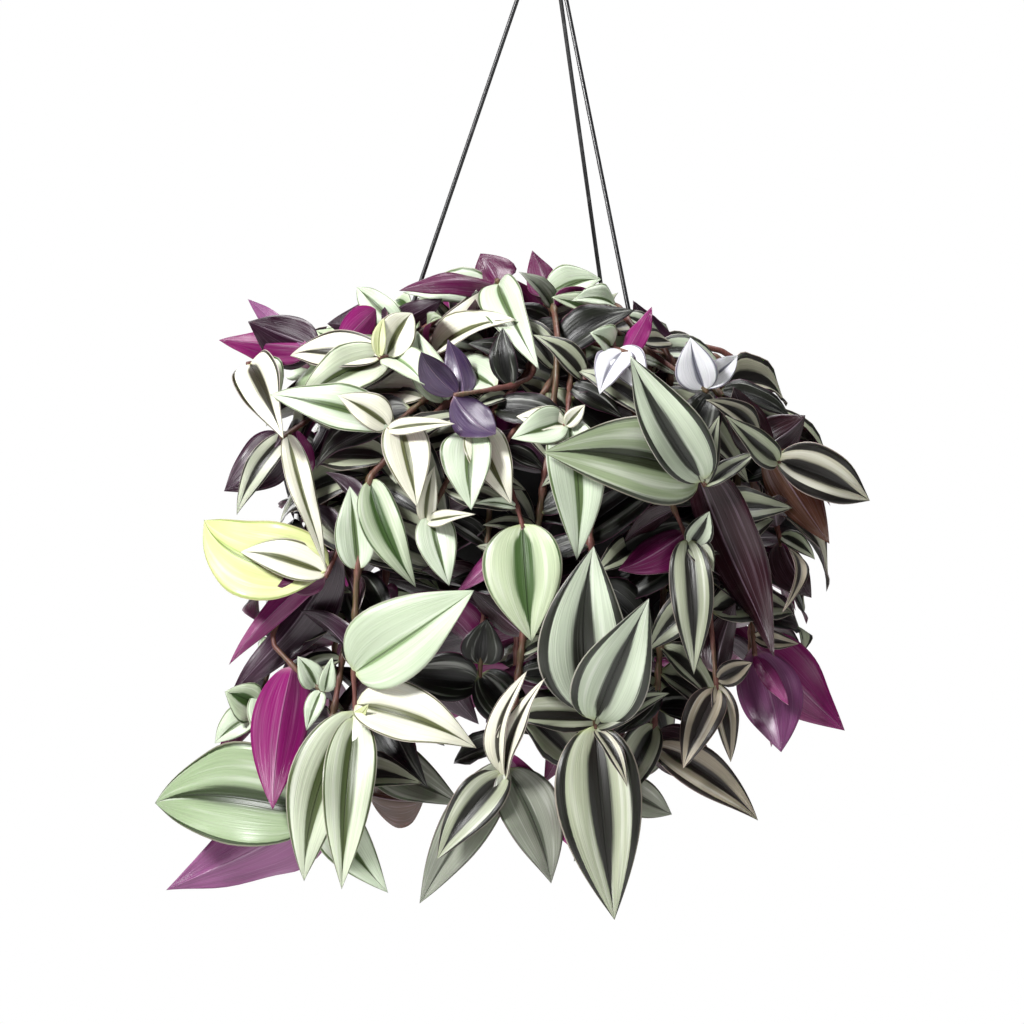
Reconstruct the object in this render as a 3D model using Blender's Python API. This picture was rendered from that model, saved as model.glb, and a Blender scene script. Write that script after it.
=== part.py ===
"""A hanging basket planted with a striped trailing house plant.

A round plastic pot hangs from three wire arms, a moulded hub and an open hook.
It is filled with soil, and every rooted stem, with its leaves, is one object.
The origin is the point inside the hook where the basket bears on whatever holds it up.
"""

import itertools
import math
import random

import bmesh
import bpy
import numpy as np
from mathutils import Matrix, Vector
from mathutils.bvhtree import BVHTree

# Pot
RIM_Z = -0.2744
POT_HEIGHT = 0.115
RIM_RADIUS = 0.0765
RIM_DEPTH = 0.008
WALL_TOP_RADIUS = 0.0732
BASE_RADIUS = 0.0520
WALL = 0.0018
FOOT_HEIGHT = 0.003
DRAIN_HOLES = 6
DRAIN_RADIUS = 0.0045
DRAIN_CIRCLE = 0.030

# Soil
SOIL_DROP = 0.014
FIT_GAP = 0.0003
HOLE_RADIUS = 0.0029
ROOT_DEPTH = 0.012

# Hanger
ARM_RADIUS = 0.0011
ARM_REACH = 0.0790
ARM_EYE_DROP = 0.0115
ARM_TOP_REACH = 0.0035
ARM_BEARINGS = (64.5, 184.5, 304.5)
HUB_Z = RIM_Z + 0.2165
HUB_HEIGHT = 0.018
HUB_RADIUS = 0.0068
SOCKET_DEPTH = 0.006
HOOK_WIRE = 0.0016
HOOK_RADIUS = 0.0140

# Plant
STEM_RADIUS = 0.0018
STEM_SIDES = 3
STEM_STEP = 0.045
STEM_TURN = math.radians(22)
FINE_STEP = 0.002
MARK_STEP = 0.004
LEAF_THICKNESS = 0.0007
LEAF_GAP = 0.0007
STEM_GAP = 0.0012
FOLD = math.radians(16)
BLADE_ROWS = (0.0, 0.25, 0.62, 1.0)
FOLDED_LENGTH = 0.060
SHORTEST_LEAF = 0.022
CLEAR_FROM = 0.22
SEED = 7

# The bush as a whole: the surface that its outer shoots reach, about the middle of the rim
BUSH_CENTRE = Vector((-0.010, 0.0, -0.050))
BUSH_SIZE = Vector((0.190, 0.122, 0.150))
FLATTEST = 0.06

# How high the bush reaches at each x, about the middle of the rim, for the leaves that grow by
# rule, and how far behind its surface they stay on the shoots that face the front
SKYLINE = (
    (-0.200, -0.020),
    (-0.176, 0.008),
    (-0.120, 0.022),
    (-0.064, 0.046),
    (0.020, 0.050),
    (0.060, 0.006),
    (0.126, -0.028),
    (0.165, -0.070),
)
INNER_DEPTH = 0.014

# Where the stems climb over the rim, and the ways tried for one that has no room
CREST_RADIUS = 0.083
CREST_Z = 0.009
LOW_CREST = 0.096
CLIMB_SHARE = 0.72
LIP_DROP = 0.004
HANG_CLEAR = 0.006
UPRIGHT_FROM = 0.020
UPRIGHT_BOW = 0.008
TRAILING_FROM = 0.012
HANGING_FROM = 0.070
STEM_LIFTS = (0.0, 0.005, 0.010, 0.015, 0.020)
STEM_SWINGS = (0, 4, -4, 8, -8, 12, -12, 16, -16)

# The shoots that face the front. Each has the place of its growing tip: x, z and how far it
# stands proud of the bush's surface, then any points that its stem passes on the way, and then its
# leaves, youngest first: distance back from the growing tip, the leaf tip's x, z and
# proudness, the width, where the side that shows looks (x and z beside 1 towards the front), 1
# where that is the upper side and -1 where it is the underside, and the arch.
FRONT_SHOOTS = {
    "crown_left": ((-0.082, 0.006, 0.0), (), (
        (0.000, -0.080, 0.026, 0.002, 0.008, 0.0, 0.2, 1, 0.05),
        (0.002, -0.127, 0.009, 0.000, 0.022, 0.0, 0.6, 1, 0.10),
        (0.005, -0.066, 0.029, 0.000, 0.020, 0.2, 0.3, 1, 0.10),
        (0.007, -0.122, -0.016, 0.008, 0.025, 0.0, 0.2, 1, 0.12),
        (0.010, -0.060, -0.007, 0.004, 0.022, 0.3, 0.3, 1, 0.12),
    )),
    "shoulder_left": ((-0.148, 0.004, -0.010), (), (
        (0.002, -0.1275, -0.034, 0.012, 0.026, -0.3, 0.1, 1, 0.12),
        (0.006, -0.131, -0.010, 0.000, 0.018, 0.2, 0.2, 1, 0.10),
    )),
    "purple_left": ((-0.121, 0.012, -0.020), (), (
        (0.001, -0.150, 0.039, -0.012, 0.013, 0.0, 0.3, -1, 0.06),
        (0.004, -0.176, 0.0175, 0.010, 0.022, 0.0, 0.2, -1, 0.10),
        (0.009, -0.147, 0.025, -0.020, 0.028, 0.0, 0.0, -1, 0.12),
    )),
    "purple_crown_left": ((-0.080, 0.026, -0.030), (), (
        (0.002, -0.109, 0.024, -0.030, 0.022, 0.0, 0.1, -1, 0.14),
        (0.005, -0.052, 0.036, -0.030, 0.016, 0.1, 0.1, -1, 0.12),
        (0.010, -0.095, 0.043, -0.040, 0.016, 0.1, 0.1, 1, 0.12),
    )),
    "centre_left": ((-0.078, -0.029, 0.002), (), (
        (0.000, -0.0455, -0.026, 0.006, 0.009, 0.0, 0.3, 1, 0.08),
        (0.002, -0.102, -0.0125, 0.008, 0.018, 0.0, 0.3, 1, 0.10),
        (0.006, -0.135, -0.0115, 0.004, 0.024, 0.0, 0.3, 1, 0.14),
        (0.009, -0.0635, -0.066, 0.010, 0.024, 0.1, 0.0, 1, 0.10),
    )),
    "long_left": ((-0.093, -0.168, 0.004),
                  ((-0.084, -0.048, -0.002), (-0.086, -0.075, -0.002), (-0.095, -0.116, 0.0)), (
        (0.000, -0.086, -0.160, 0.016, 0.006, 0.0, 0.2, 1, 0.08),
        (0.001, -0.099, -0.248, 0.016, 0.028, 0.1, 0.0, 1, 0.08),
        (0.004, -0.1185, -0.2465, 0.010, 0.031, -0.15, 0.0, 1, 0.10),
        (0.007, -0.0355, -0.180, 0.010, 0.030, 0.1, 0.3, 1, 0.12),
        (0.022, -0.035, -0.1055, 0.018, 0.040, 0.0, 0.15, 1, 0.08),
        (0.072, -0.096, -0.056, 0.002, 0.022, -0.2, 0.0, 1, 0.08),
        (0.116, -0.064, -0.104, 0.004, 0.022, 0.1, 0.0, 1, 0.08),
    )),
    "centre_small": ((-0.0595, -0.0745, -0.002), (), (
        (0.000, -0.055, -0.046, 0.002, 0.011, 0.0, 0.0, 1, 0.08),
        (0.002, -0.0365, -0.069, 0.006, 0.009, 0.0, 0.3, 1, 0.10),
        (0.006, -0.048, -0.104, 0.006, 0.020, 0.1, 0.0, 1, 0.10),
    )),
    "centre_mint": ((-0.040, -0.031, -0.006), (), (
        (0.002, -0.0375, -0.0675, 0.012, 0.027, -0.1, 0.1, 1, 0.12),
        (0.006, -0.018, -0.064, 0.000, 0.022, 0.2, 0.1, 1, 0.10),
    )),
    "centre_long": ((-0.0125, -0.076, -0.002), ((-0.022, -0.037, -0.006),), (
        (0.000, -0.045, -0.1075, 0.002, 0.013, -0.3, 0.0, -1, 0.06),
        (0.002, -0.009, -0.1305, 0.006, 0.040, -0.2, 0.1, 1, 0.08),
        (0.010, -0.036, -0.064, 0.004, 0.006, 0.0, 0.3, 1, 0.10),
    )),
    "plum_centre": ((-0.046, -0.0125, 0.0), (), (
        (0.000, -0.0255, -0.0315, 0.012, 0.022, 0.1, 0.2, -1, 0.12),
        (0.002, -0.062, 0.0085, 0.006, 0.017, -0.2, 0.3, -1, 0.10),
        (0.005, -0.049, 0.015, -0.004, 0.017, 0.2, 0.2, -1, 0.10),
    )),
    "centre_star": ((0.0075, -0.0275, 0.004), (), (
        (0.000, 0.017, -0.017, 0.006, 0.009, 0.2, 0.2, 1, 0.20),
        (0.001, -0.016, -0.0225, 0.006, 0.014, 0.0, 0.3, 1, 0.10),
        (0.004, -0.018, -0.033, 0.010, 0.020, -0.1, 0.1, 1, 0.12),
        (0.007, 0.013, -0.091, 0.010, 0.030, 0.0, 0.1, 1, 0.10),
    )),
    "right_star": ((0.075, -0.056, 0.004), (), (
        (0.000, 0.100, -0.040, 0.008, 0.010, 0.0, 0.3, 1, 0.10),
        (0.001, 0.082, -0.022, 0.006, 0.012, 0.2, 0.1, 1, 0.08),
        (0.003, 0.038, 0.0065, 0.012, 0.032, 0.1, 0.1, 1, 0.10),
        (0.006, -0.003, -0.040, 0.018, 0.042, -0.1, 0.1, 1, 0.08),
        (0.010, 0.1105, -0.1375, 0.010, 0.032, -0.55, 0.0, -1, 0.06),
    )),
    "right_crown": ((0.112, -0.045, -0.010), (), (
        (0.001, 0.0845, -0.022, 0.012, 0.016, 0.0, 0.3, 1, 0.08),
        (0.003, 0.157, -0.063, 0.008, 0.030, 0.2, 0.4, 1, 0.10),
        (0.006, 0.0895, -0.008, -0.006, 0.024, 0.2, 0.4, -1, 0.12),
        (0.009, 0.1365, -0.084, 0.002, 0.024, 0.2, -0.3, -1, 0.10),
        (0.012, 0.126, -0.021, -0.014, 0.024, 0.5, 0.2, -1, 0.15),
        (0.016, 0.075, -0.0145, 0.002, 0.016, 0.0, 0.5, 1, 0.10),
    )),
    "white_right": ((0.077, -0.0105, -0.012), (), (
        (0.002, 0.0685, 0.016, -0.004, 0.021, 0.0, 0.2, 1, 0.08),
        (0.006, 0.092, 0.008, -0.010, 0.014, 0.3, 0.2, 1, 0.10),
    )),
    "top_right": ((0.0385, 0.0085, -0.006), (), (
        (0.001, 0.050, 0.031, -0.008, 0.012, -0.4, 0.0, -1, 0.05),
        (0.004, 0.024, -0.012, 0.006, 0.018, -0.2, 0.2, 1, 0.10),
        (0.008, 0.046, -0.012, 0.002, 0.020, 0.1, 0.2, 1, 0.12),
        (0.012, 0.020, 0.018, 0.000, 0.018, 0.0, 0.4, 1, 0.12),
    )),
    "top_centre": ((-0.001, 0.0375, -0.045), (), (
        (0.000, -0.0080, 0.061, -0.048, 0.018, 0.3, 0.3, -1, 0.08),
        (0.002, 0.026, 0.046, -0.040, 0.020, 0.2, 0.6, 1, 0.12),
        (0.004, 0.046, 0.024, -0.030, 0.027, 0.1, 0.4, 1, 0.12),
        (0.008, 0.0165, -0.021, -0.006, 0.024, 0.3, 0.2, 1, 0.12),
        (0.012, 0.029, 0.0375, -0.060, 0.018, 0.2, 0.3, -1, 0.10),
    )),
    "top_purple": ((-0.0255, 0.046, -0.045), (), (
        (0.001, -0.034, 0.060, -0.046, 0.026, -0.1, 0.2, -1, 0.16),
        (0.003, -0.0055, 0.001, -0.012, 0.024, -0.2, 0.2, 1, 0.12),
        (0.006, -0.0735, 0.0400, -0.032, 0.017, 0.0, 0.9, -1, -0.17),
        (0.010, -0.028, 0.003, -0.030, 0.012, 0.2, 0.0, -1, 0.08),
        (0.014, -0.0565, 0.022, -0.030, 0.020, 0.0, 0.5, 1, 0.10),
    )),
    "plum_left": ((-0.130, -0.0325, -0.008), (), (
        (0.002, -0.158, -0.0585, 0.006, 0.028, -0.3, 0.1, -1, 0.10),
        (0.005, -0.107, -0.0945, 0.008, 0.014, 0.3, 0.0, 1, 0.08),
        (0.008, -0.152, -0.070, -0.004, 0.014, -0.2, 0.0, 1, 0.14),
        (0.012, -0.118, -0.056, 0.000, 0.014, 0.0, 0.3, -1, 0.10),
    )),
    "lime_left": ((-0.108, -0.100, 0.002), (), (
        (0.000, -0.131, -0.104, 0.020, 0.016, 0.2, 0.3, -1, 0.08),
        (0.002, -0.150, -0.087, 0.016, 0.020, 0.0, 0.3, 1, 0.10),
        (0.005, -0.170, -0.071, 0.006, 0.042, -0.1, 0.2, 1, 0.08),
        (0.008, -0.1555, -0.1425, 0.016, 0.014, 0.0, 0.4, -1, 0.05),
        (0.014, -0.159, -0.159, 0.000, 0.026, -0.3, 0.0, -1, 0.10),
    )),
    "magenta_left": ((-0.1085, -0.1555, 0.0), ((-0.133, -0.122, -0.006), (-0.128, -0.140, -0.002)), (
        (0.000, -0.1045, -0.138, 0.008, 0.009, 0.2, 0.0, 1, 0.10),
        (0.002, -0.117, -0.174, 0.008, 0.010, -0.2, 0.0, 1, 0.14),
        (0.005, -0.1215, -0.138, 0.008, 0.014, 0.0, 0.2, 1, 0.10),
        (0.022, -0.1335, -0.212, 0.014, 0.030, -0.1, 0.0, -1, 0.08),
    )),
    "low_left": ((-0.113, -0.2185, -0.012), (), (
        (0.003, -0.196, -0.211, 0.016, 0.052, -0.1, 0.2, 1, 0.10),
        (0.007, -0.187, -0.2525, -0.002, 0.042, 0.0, -0.3, -1, 0.10),
        (0.012, -0.078, -0.252, -0.010, 0.026, 0.1, 0.0, 1, 0.10),
    )),
    "edge_left": ((-0.143, -0.1685, -0.016), (), (
        (0.002, -0.1635, -0.1815, 0.004, 0.016, 0.0, 0.3, 1, 0.12),
        (0.005, -0.158, -0.156, 0.000, 0.022, -0.2, 0.1, 1, 0.10),
        (0.008, -0.163, -0.192, -0.010, 0.012, 0.0, 0.2, -1, 0.08),
        (0.013, -0.128, -0.196, -0.004, 0.022, 0.2, 0.1, 1, 0.08),
    )),
    "low_rust": ((-0.088, -0.208, -0.034), (), (
        (0.002, -0.060, -0.2080, -0.024, 0.030, 0.2, -0.1, -1, 0.10),
        (0.024, -0.043, -0.2090, -0.018, 0.028, 0.1, 0.1, 1, 0.08),
        (0.032, -0.066, -0.196, -0.014, 0.022, 0.0, 0.0, -1, 0.10),
    )),
    "low_centre": ((-0.0215, -0.1965, -0.002), (), (
        (0.000, -0.0025, -0.1475, 0.020, 0.015, -0.7, 0.2, 1, 0.15),
        (0.001, -0.0085, -0.144, 0.014, 0.015, -0.8, 0.2, 1, 0.22),
        (0.003, -0.054, -0.235, 0.010, 0.024, -0.2, 0.1, 1, 0.12),
        (0.005, 0.001, -0.2465, 0.002, 0.030, 0.1, 0.0, 1, 0.08),
        (0.008, -0.0625, -0.257, -0.008, 0.026, 0.0, 0.0, 1, 0.08),
        (0.012, 0.020, -0.237, 0.012, 0.012, -0.4, 0.0, -1, 0.05),
    )),
    "low_star": ((0.022, -0.1725, 0.006), (), (
        (0.000, 0.037, -0.199, 0.024, 0.010, 0.3, 0.0, 1, 0.12),
        (0.001, 0.057, -0.155, 0.018, 0.014, 0.3, 0.3, 1, 0.10),
        (0.002, 0.031, -0.2635, 0.014, 0.042, 0.0, 0.0, 1, 0.08),
        (0.004, 0.047, -0.110, 0.020, 0.037, 0.2, 0.1, 1, 0.10),
        (0.007, 0.0215, -0.0845, 0.012, 0.046, -0.2, 0.1, 1, 0.10),
    )),
    "low_behind": ((0.034, -0.2035, -0.034), (), (
        (0.003, 0.060, -0.2155, -0.030, 0.020, 0.1, 0.1, 1, 0.08),
        (0.007, 0.012, -0.238, -0.030, 0.026, -0.1, 0.0, 1, 0.08),
        (0.016, 0.062, -0.178, -0.024, 0.026, 0.2, 0.0, 1, 0.10),
    )),
    "dark_right": ((0.081, -0.1555, 0.0), (), (
        (0.002, 0.064, -0.192, 0.010, 0.020, -0.2, 0.0, 1, 0.12),
        (0.004, 0.0875, -0.189, 0.006, 0.014, 0.3, 0.0, 1, 0.12),
        (0.006, 0.098, -0.141, 0.004, 0.014, 0.3, 0.1, 1, 0.10),
        (0.009, 0.090, -0.112, -0.004, 0.018, 0.3, 0.0, -1, 0.10),
    )),
    "low_right": ((0.050, -0.183, -0.012), (), (
        (0.002, 0.1015, -0.217, 0.004, 0.024, 0.0, 0.3, 1, 0.08),
        (0.006, 0.084, -0.200, -0.012, 0.026, 0.1, 0.1, -1, 0.10),
        (0.012, 0.030, -0.212, -0.006, 0.022, -0.1, 0.0, 1, 0.08),
    )),
    "magenta_right": ((0.100, -0.1385, -0.014), (), (
        (0.001, 0.1155, -0.162, 0.014, 0.010, 0.3, 0.0, -1, 0.05),
        (0.003, 0.112, -0.184, 0.008, 0.034, 0.0, 0.1, -1, 0.10),
        (0.006, 0.1435, -0.175, -0.006, 0.036, 0.1, 0.1, -1, 0.06),
        (0.010, 0.1215, -0.1325, -0.004, 0.010, 0.3, 0.1, 1, 0.10),
    )),
    "hanging_right": ((0.068, -0.085, -0.002), (), (
        (0.000, 0.079, -0.097, 0.008, 0.013, 0.2, 0.2, 1, 0.10),
        (0.001, 0.077, -0.068, 0.004, 0.014, 0.1, 0.1, 1, 0.10),
        (0.004, 0.069, -0.146, 0.010, 0.022, -0.1, 0.0, 1, 0.08),
        (0.007, 0.033, -0.0965, 0.000, 0.022, 0.0, 0.5, -1, 0.10),
    )),
    "burgundy_right": ((0.1135, -0.085, -0.020), (), (
        (0.001, 0.112, -0.1175, 0.012, 0.010, 0.7, 0.0, 1, 0.22),
        (0.003, 0.128, -0.110, -0.004, 0.022, 0.5, 0.0, -1, 0.14),
        (0.006, 0.130, -0.0915, -0.010, 0.010, 0.2, 0.2, 1, 0.10),
        (0.010, 0.112, -0.060, -0.008, 0.022, 0.3, 0.2, -1, 0.10),
    )),
    "shade_centre": ((-0.034, -0.154, -0.018), (), (
        (0.003, -0.0735, -0.1465, -0.012, 0.026, 0.0, 0.2, 1, 0.08),
        (0.007, -0.006, -0.176, -0.012, 0.026, 0.2, 0.1, 1, 0.10),
        (0.012, -0.030, -0.120, -0.014, 0.022, 0.1, 0.1, 1, 0.10),
    )),
}

# The shoots of the sides and the back, in three tiers, spread by rule: how many, the bearings
# between which they lie, their radius and the heights between which they end
TIERS = {
    "crown": (5, 20.0, 160.0, 0.050, 0.022, 0.034),
    "rim": (8, -14.0, 194.0, 0.116, -0.060, -0.020),
    "trail": (8, -6.0, 186.0, 0.106, -0.200, -0.110),
}
FIRST_SPACING = 0.003
SPACING_GROWTH = 0.004
LAST_SPACING = 0.023
LONGEST_LEAF = 0.074
YOUNGEST_SHARE = 0.65
YOUNG_LEAVES = 1.8
LEAVES_BY_RULE = 10
LEAVES_BEHIND = 2
OUTWARD = (0.35,)
INWARD = (-0.3, -0.9)
NEARER_STEPS = (0, 0.004, -0.004, 0.008, -0.008, 0.013, -0.013, 0.018, -0.018, 0.026, -0.026)
OWN_SWINGS = (0, 12, -12, 26, -26)
OWN_SHARES = (1, 0.93, 0.85, 0.75)
RULE_SHARES = (1, 0.82, 0.66)
RULE_LIFTS = (0, 16, -16, 32, -32)
RULE_SWINGS = (0, 15, -15, 30, -30)
LEAF_SLIMNESS = 0.48
UNDERSIDE_SHARE = 0.26
YOUNG_SPREAD = 38
GROWN_SPREAD = 68
GROWN_AT = 0.020
DROOP = 0.12
FLIPPED_RISE = 0.55
RULE_ARCH = 0.11
FIRST_FILL = 0.018

UP = Vector((0, 0, 1))


def rim_frame(point):
    """A place given from the middle of the rim, in the object's frame."""
    return Vector(point) + Vector((0, 0, RIM_Z))


def front_depth(x, z, proud):
    """How far the bush reaches forwards at x and z, as a y value. It hangs straight below."""
    across = (x - BUSH_CENTRE.x) / BUSH_SIZE.x
    up = max(0.0, z - BUSH_CENTRE.z) / BUSH_SIZE.z
    return -BUSH_SIZE.y * math.sqrt(max(FLATTEST, 1 - across**2 - up**2)) - proud


def front_point(x, z, proud):
    """A point of the bush's front, from the middle of the rim."""
    return Vector((x, front_depth(x, z, proud), z))


def polar(radius, bearing, z):
    """A point at a radius and a bearing in degrees."""
    turn = math.radians(bearing)
    return Vector((radius * math.cos(turn), radius * math.sin(turn), z))


def smooth_route(points, step):
    """A smooth curve through the points, sampled about every step."""
    ends = [2 * points[0] - points[1], *points, 2 * points[-1] - points[-2]]
    found = [points[0].copy()]
    for before, start, end, after in zip(ends, ends[1:], ends[2:], ends[3:]):
        count = max(1, round((end - start).length / step))
        for k in range(1, count + 1):
            t = k / count
            found.append(0.5 * (
                2 * start
                + (end - before) * t
                + (2 * before - 5 * start + 4 * end - after) * t**2
                + (3 * start - before - 3 * end + after) * t**3
            ))
    return found


def at_distance_back(route, back):
    """The point this far back from a route's end, and the direction towards the end there."""
    left = back
    for end, start in zip(route[::-1], route[-2::-1]):
        span = (end - start).length
        if left <= span:
            return end.lerp(start, left / span), (end - start).normalized()
        left -= span
    return route[0].copy(), (route[1] - route[0]).normalized()


def stem_points(route):
    """The few points of a route that its plain stem needs: more where it turns."""
    kept = [route[0]]
    way = (route[1] - route[0]).normalized()
    for before, point in zip(route[1:], route[2:]):
        ahead = (point - before).normalized()
        if ahead.angle(way) > STEM_TURN or (before - kept[-1]).length > STEM_STEP:
            kept.append(before)
            way = ahead
    if (route[-1] - kept[-1]).length < FINE_STEP * 2:
        kept.pop()
    return [*kept, route[-1]]


def marks(points):
    """Points spaced evenly along a bent line."""
    found = [points[0]]
    for start, end in zip(points, points[1:]):
        count = math.ceil((end - start).length / MARK_STEP)
        found += [start.lerp(end, k / count) for k in range(1, count + 1)]
    return found


def closest_gap(line, other):
    """The smallest distance between two lines of marks."""
    return min((p - q).length for p in line for q in other)


def outline(v):
    """A leaf's half width at v, from 0 at its base to 1 at its tip, as a share of the widest."""
    base_power, tip_power = 0.55, 1.05
    widest = base_power / (base_power + tip_power)
    peak = widest**base_power * (1 - widest) ** tip_power
    return max(0.0, v) ** base_power * max(0.0, 1 - v) ** tip_power / peak


class Leaf:
    """A blade from its base on the stem to its tip. face is the way its upper side looks."""

    def __init__(self, base, tip, width, face, arch):
        self.base = base
        self.tip = tip
        self.width = width
        self.arch = arch
        along = (tip - base).normalized()
        self.face = (face - along * face.dot(along)).normalized()
        self.side = along.cross(self.face)

    def length(self):
        return (self.tip - self.base).length

    def point(self, u, v, margin=0.0, fold=1.0):
        """The blade's middle surface: u is -1 to 1 across, v is 0 at the base and 1 at the tip."""
        rise = self.arch * self.length() * 4 * v * (1 - v)
        half = (self.width / 2 + margin) * outline(v)
        lift = half * (abs(u) if fold else 0.5) * math.sin(FOLD)
        return (
            self.base
            + (self.tip - self.base) * v
            + self.side * (u * half * math.cos(FOLD))
            + self.face * (rise + lift)
        )


def blade(leaf, thickness, margin=0.0, start=0.0):
    """The solid blade of a leaf as a bmesh: an arched grid, folded if it is large, and thick."""
    folded = leaf.length() > FOLDED_LENGTH
    last = len(BLADE_ROWS) - 1
    bm = bmesh.new()
    bmesh.ops.create_grid(bm, x_segments=2 if folded else 1, y_segments=last, size=1)
    for vert in bm.verts:
        row = BLADE_ROWS[round((vert.co.y + 1) / 2 * last)]
        vert.co = leaf.point(vert.co.x, start + (1 - start) * row, margin, folded)
    bmesh.ops.remove_doubles(bm, verts=bm.verts, dist=1e-6)
    bmesh.ops.triangulate(bm, faces=bm.faces)
    bm.normal_update()
    for vert in bm.verts:
        vert.co += vert.normal * (thickness / 2)
    bmesh.ops.solidify(bm, geom=bm.faces, thickness=thickness)
    bmesh.ops.recalc_face_normals(bm, faces=bm.faces)
    return bm


def tree_of(bm):
    """A bmesh as a tree for overlap tests, with its box. The bmesh is freed."""
    bm.normal_update()
    points = [vert.co for vert in bm.verts]
    low = Vector(min(p[i] for p in points) for i in range(3))
    high = Vector(max(p[i] for p in points) for i in range(3))
    tree = BVHTree.FromBMesh(bm)
    bm.free()
    return tree, low, high


def tube_guard(points, radius):
    """A wire or stem along the points, for the overlap tests."""
    mesh = mesh_from_curve("guard", points, radius, 4)
    bm = bmesh.new()
    bm.from_mesh(mesh)
    bpy.data.meshes.remove(mesh)
    return tree_of(bm)


def pot_guard():
    """The pot and its soil as one plain tapered drum."""
    bm = bmesh.new()
    bmesh.ops.create_cone(
        bm, cap_ends=True, segments=32, radius1=BASE_RADIUS, radius2=RIM_RADIUS, depth=POT_HEIGHT,
        matrix=Matrix.Translation((0, 0, RIM_Z - POT_HEIGHT / 2)),
    )
    return tree_of(bm)


def boxes_meet(first, second):
    return all(first[1][i] <= second[2][i] and second[1][i] <= first[2][i] for i in range(3))


def meets(guard, others):
    return any(boxes_meet(guard, other) and guard[0].overlap(other[0]) for other in others)


def arm_points(bearing):
    """One wire arm: from the hub, out to the rim, and hooked in through the pot's wall."""
    wall_here = WALL_TOP_RADIUS - 0.0015
    side = (
        (ARM_TOP_REACH, HUB_Z + SOCKET_DEPTH - RIM_Z),
        (ARM_REACH - 0.0006, 0.004),
        (ARM_REACH, -0.001),
        (ARM_REACH, -ARM_EYE_DROP + 0.0035),
        (ARM_REACH - 0.0012, -ARM_EYE_DROP + 0.0010),
        (ARM_REACH - 0.0035, -ARM_EYE_DROP),
        (wall_here - 0.0045, -ARM_EYE_DROP),
        (wall_here - 0.0065, -ARM_EYE_DROP + 0.0015),
        (wall_here - 0.0068, -ARM_EYE_DROP + 0.0060),
    )
    return [rim_frame(polar(reach, bearing, z)) for reach, z in side]


def root_spots(count):
    """Places in the soil for the stems, spread like a sunflower's seeds, at the soil's depth."""
    golden = math.pi * (3 - math.sqrt(5))
    spread = WALL_TOP_RADIUS - 0.013
    z = RIM_Z - SOIL_DROP - ROOT_DEPTH
    return [
        Vector((spread * math.sqrt((k + 0.5) / count) * math.cos(k * golden),
                spread * math.sqrt((k + 0.5) / count) * math.sin(k * golden), z))
        for k in range(count)
    ]


def stem_control(root, via, tip, swing, lift):
    """The points that a stem goes through: out of the soil, over the rim if it trails, and on."""
    surface = root + Vector((0, 0, ROOT_DEPTH + 0.004))
    first = via[0] if via else tip
    radius = math.hypot(first.x, first.y)
    bearing = math.degrees(math.atan2(first.y, first.x)) + swing
    if first.z > RIM_Z + UPRIGHT_FROM and radius < LOW_CREST:
        halfway = surface.lerp(first, 0.5) + Vector((0, 0, UPRIGHT_BOW + lift))
        return [surface, halfway, *via, tip]
    rise = polar(CREST_RADIUS * CLIMB_SHARE, bearing, RIM_Z + CREST_Z * CLIMB_SHARE + lift)
    crest = polar(CREST_RADIUS, bearing, RIM_Z + CREST_Z + lift)
    points = [surface, rise, crest]
    if first.z < RIM_Z - TRAILING_FROM:
        points.append(polar(LOW_CREST + lift * 0.5, bearing, RIM_Z - LIP_DROP))
    if first.z < RIM_Z - HANGING_FROM:
        side = polar(LOW_CREST + HANG_CLEAR, bearing, first.z).lerp(first, 0.5)
        points.append(Vector((side.x, side.y, RIM_Z - LIP_DROP + (first.z - RIM_Z) * 0.5)))
    return [*points, *via, tip]


def plan_shoots():
    """Every shoot's name, the points that its stem must pass and its own leaves."""
    chance = random.Random(SEED)
    shoots = []
    for name, (tip, via, leaves) in FRONT_SHOOTS.items():
        passed = [rim_frame(front_point(*point)) for point in via]
        shoots.append((name, rim_frame(front_point(*tip)), passed, leaves))
    for tier, (count, start, end, radius, low, high) in TIERS.items():
        for k in range(count):
            bearing = start + (end - start) * (k + 0.5) / count + chance.uniform(-4, 4)
            z = chance.uniform(low, high)
            reach = radius * chance.uniform(0.92, 1.08)
            shoots.append((f"{tier}_{k + 1}", rim_frame(polar(reach, bearing, z)), [], ()))
    return shoots


def route_stems(shoots):
    """A route for each shoot's stem, from the nearest free root, clear of the stems before it."""
    spots = root_spots(len(shoots))
    routes = {}
    lines = [marks(arm_points(bearing)) for bearing in ARM_BEARINGS]
    needed = 2 * STEM_RADIUS + STEM_GAP
    for name, tip, via, _ in shoots:
        first = via[0] if via else tip
        root = min(spots, key=lambda spot: (spot.xy - first.xy).length)
        spots.remove(root)
        best_room = 0
        for lift, swing in itertools.product(STEM_LIFTS, STEM_SWINGS):
            passed = stem_control(root, via, tip, swing, lift)
            route = [root, *stem_points(smooth_route(passed, FINE_STEP))]
            line = marks(route)
            room = min(closest_gap(line, other) for other in lines)
            if room > best_room:
                best_room, routes[name], best_line = room, route, line
            if room > needed:
                break
        lines.append(best_line)
        if best_room < needed:
            print(f"stem {name} has only {best_room * 1000:.1f} mm of room")
    return routes


def front_leaf(route, row, nearer, swing, share):
    """One of a front shoot's own leaves, moved in depth, turned and shortened as asked."""
    back, x, z, proud, width, look_x, look_z, side, arch = row
    base, _ = at_distance_back(route, back)
    tip = rim_frame(front_point(x, z, proud + nearer))
    tip = base + (tip - base) * share
    look = Vector((look_x, -1, look_z)) * side
    along = (tip - base).normalized()
    look = Matrix.Rotation(math.radians(swing), 3, along) @ look
    return Leaf(base, tip, width * (0.5 + share / 2), look, arch)


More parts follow.
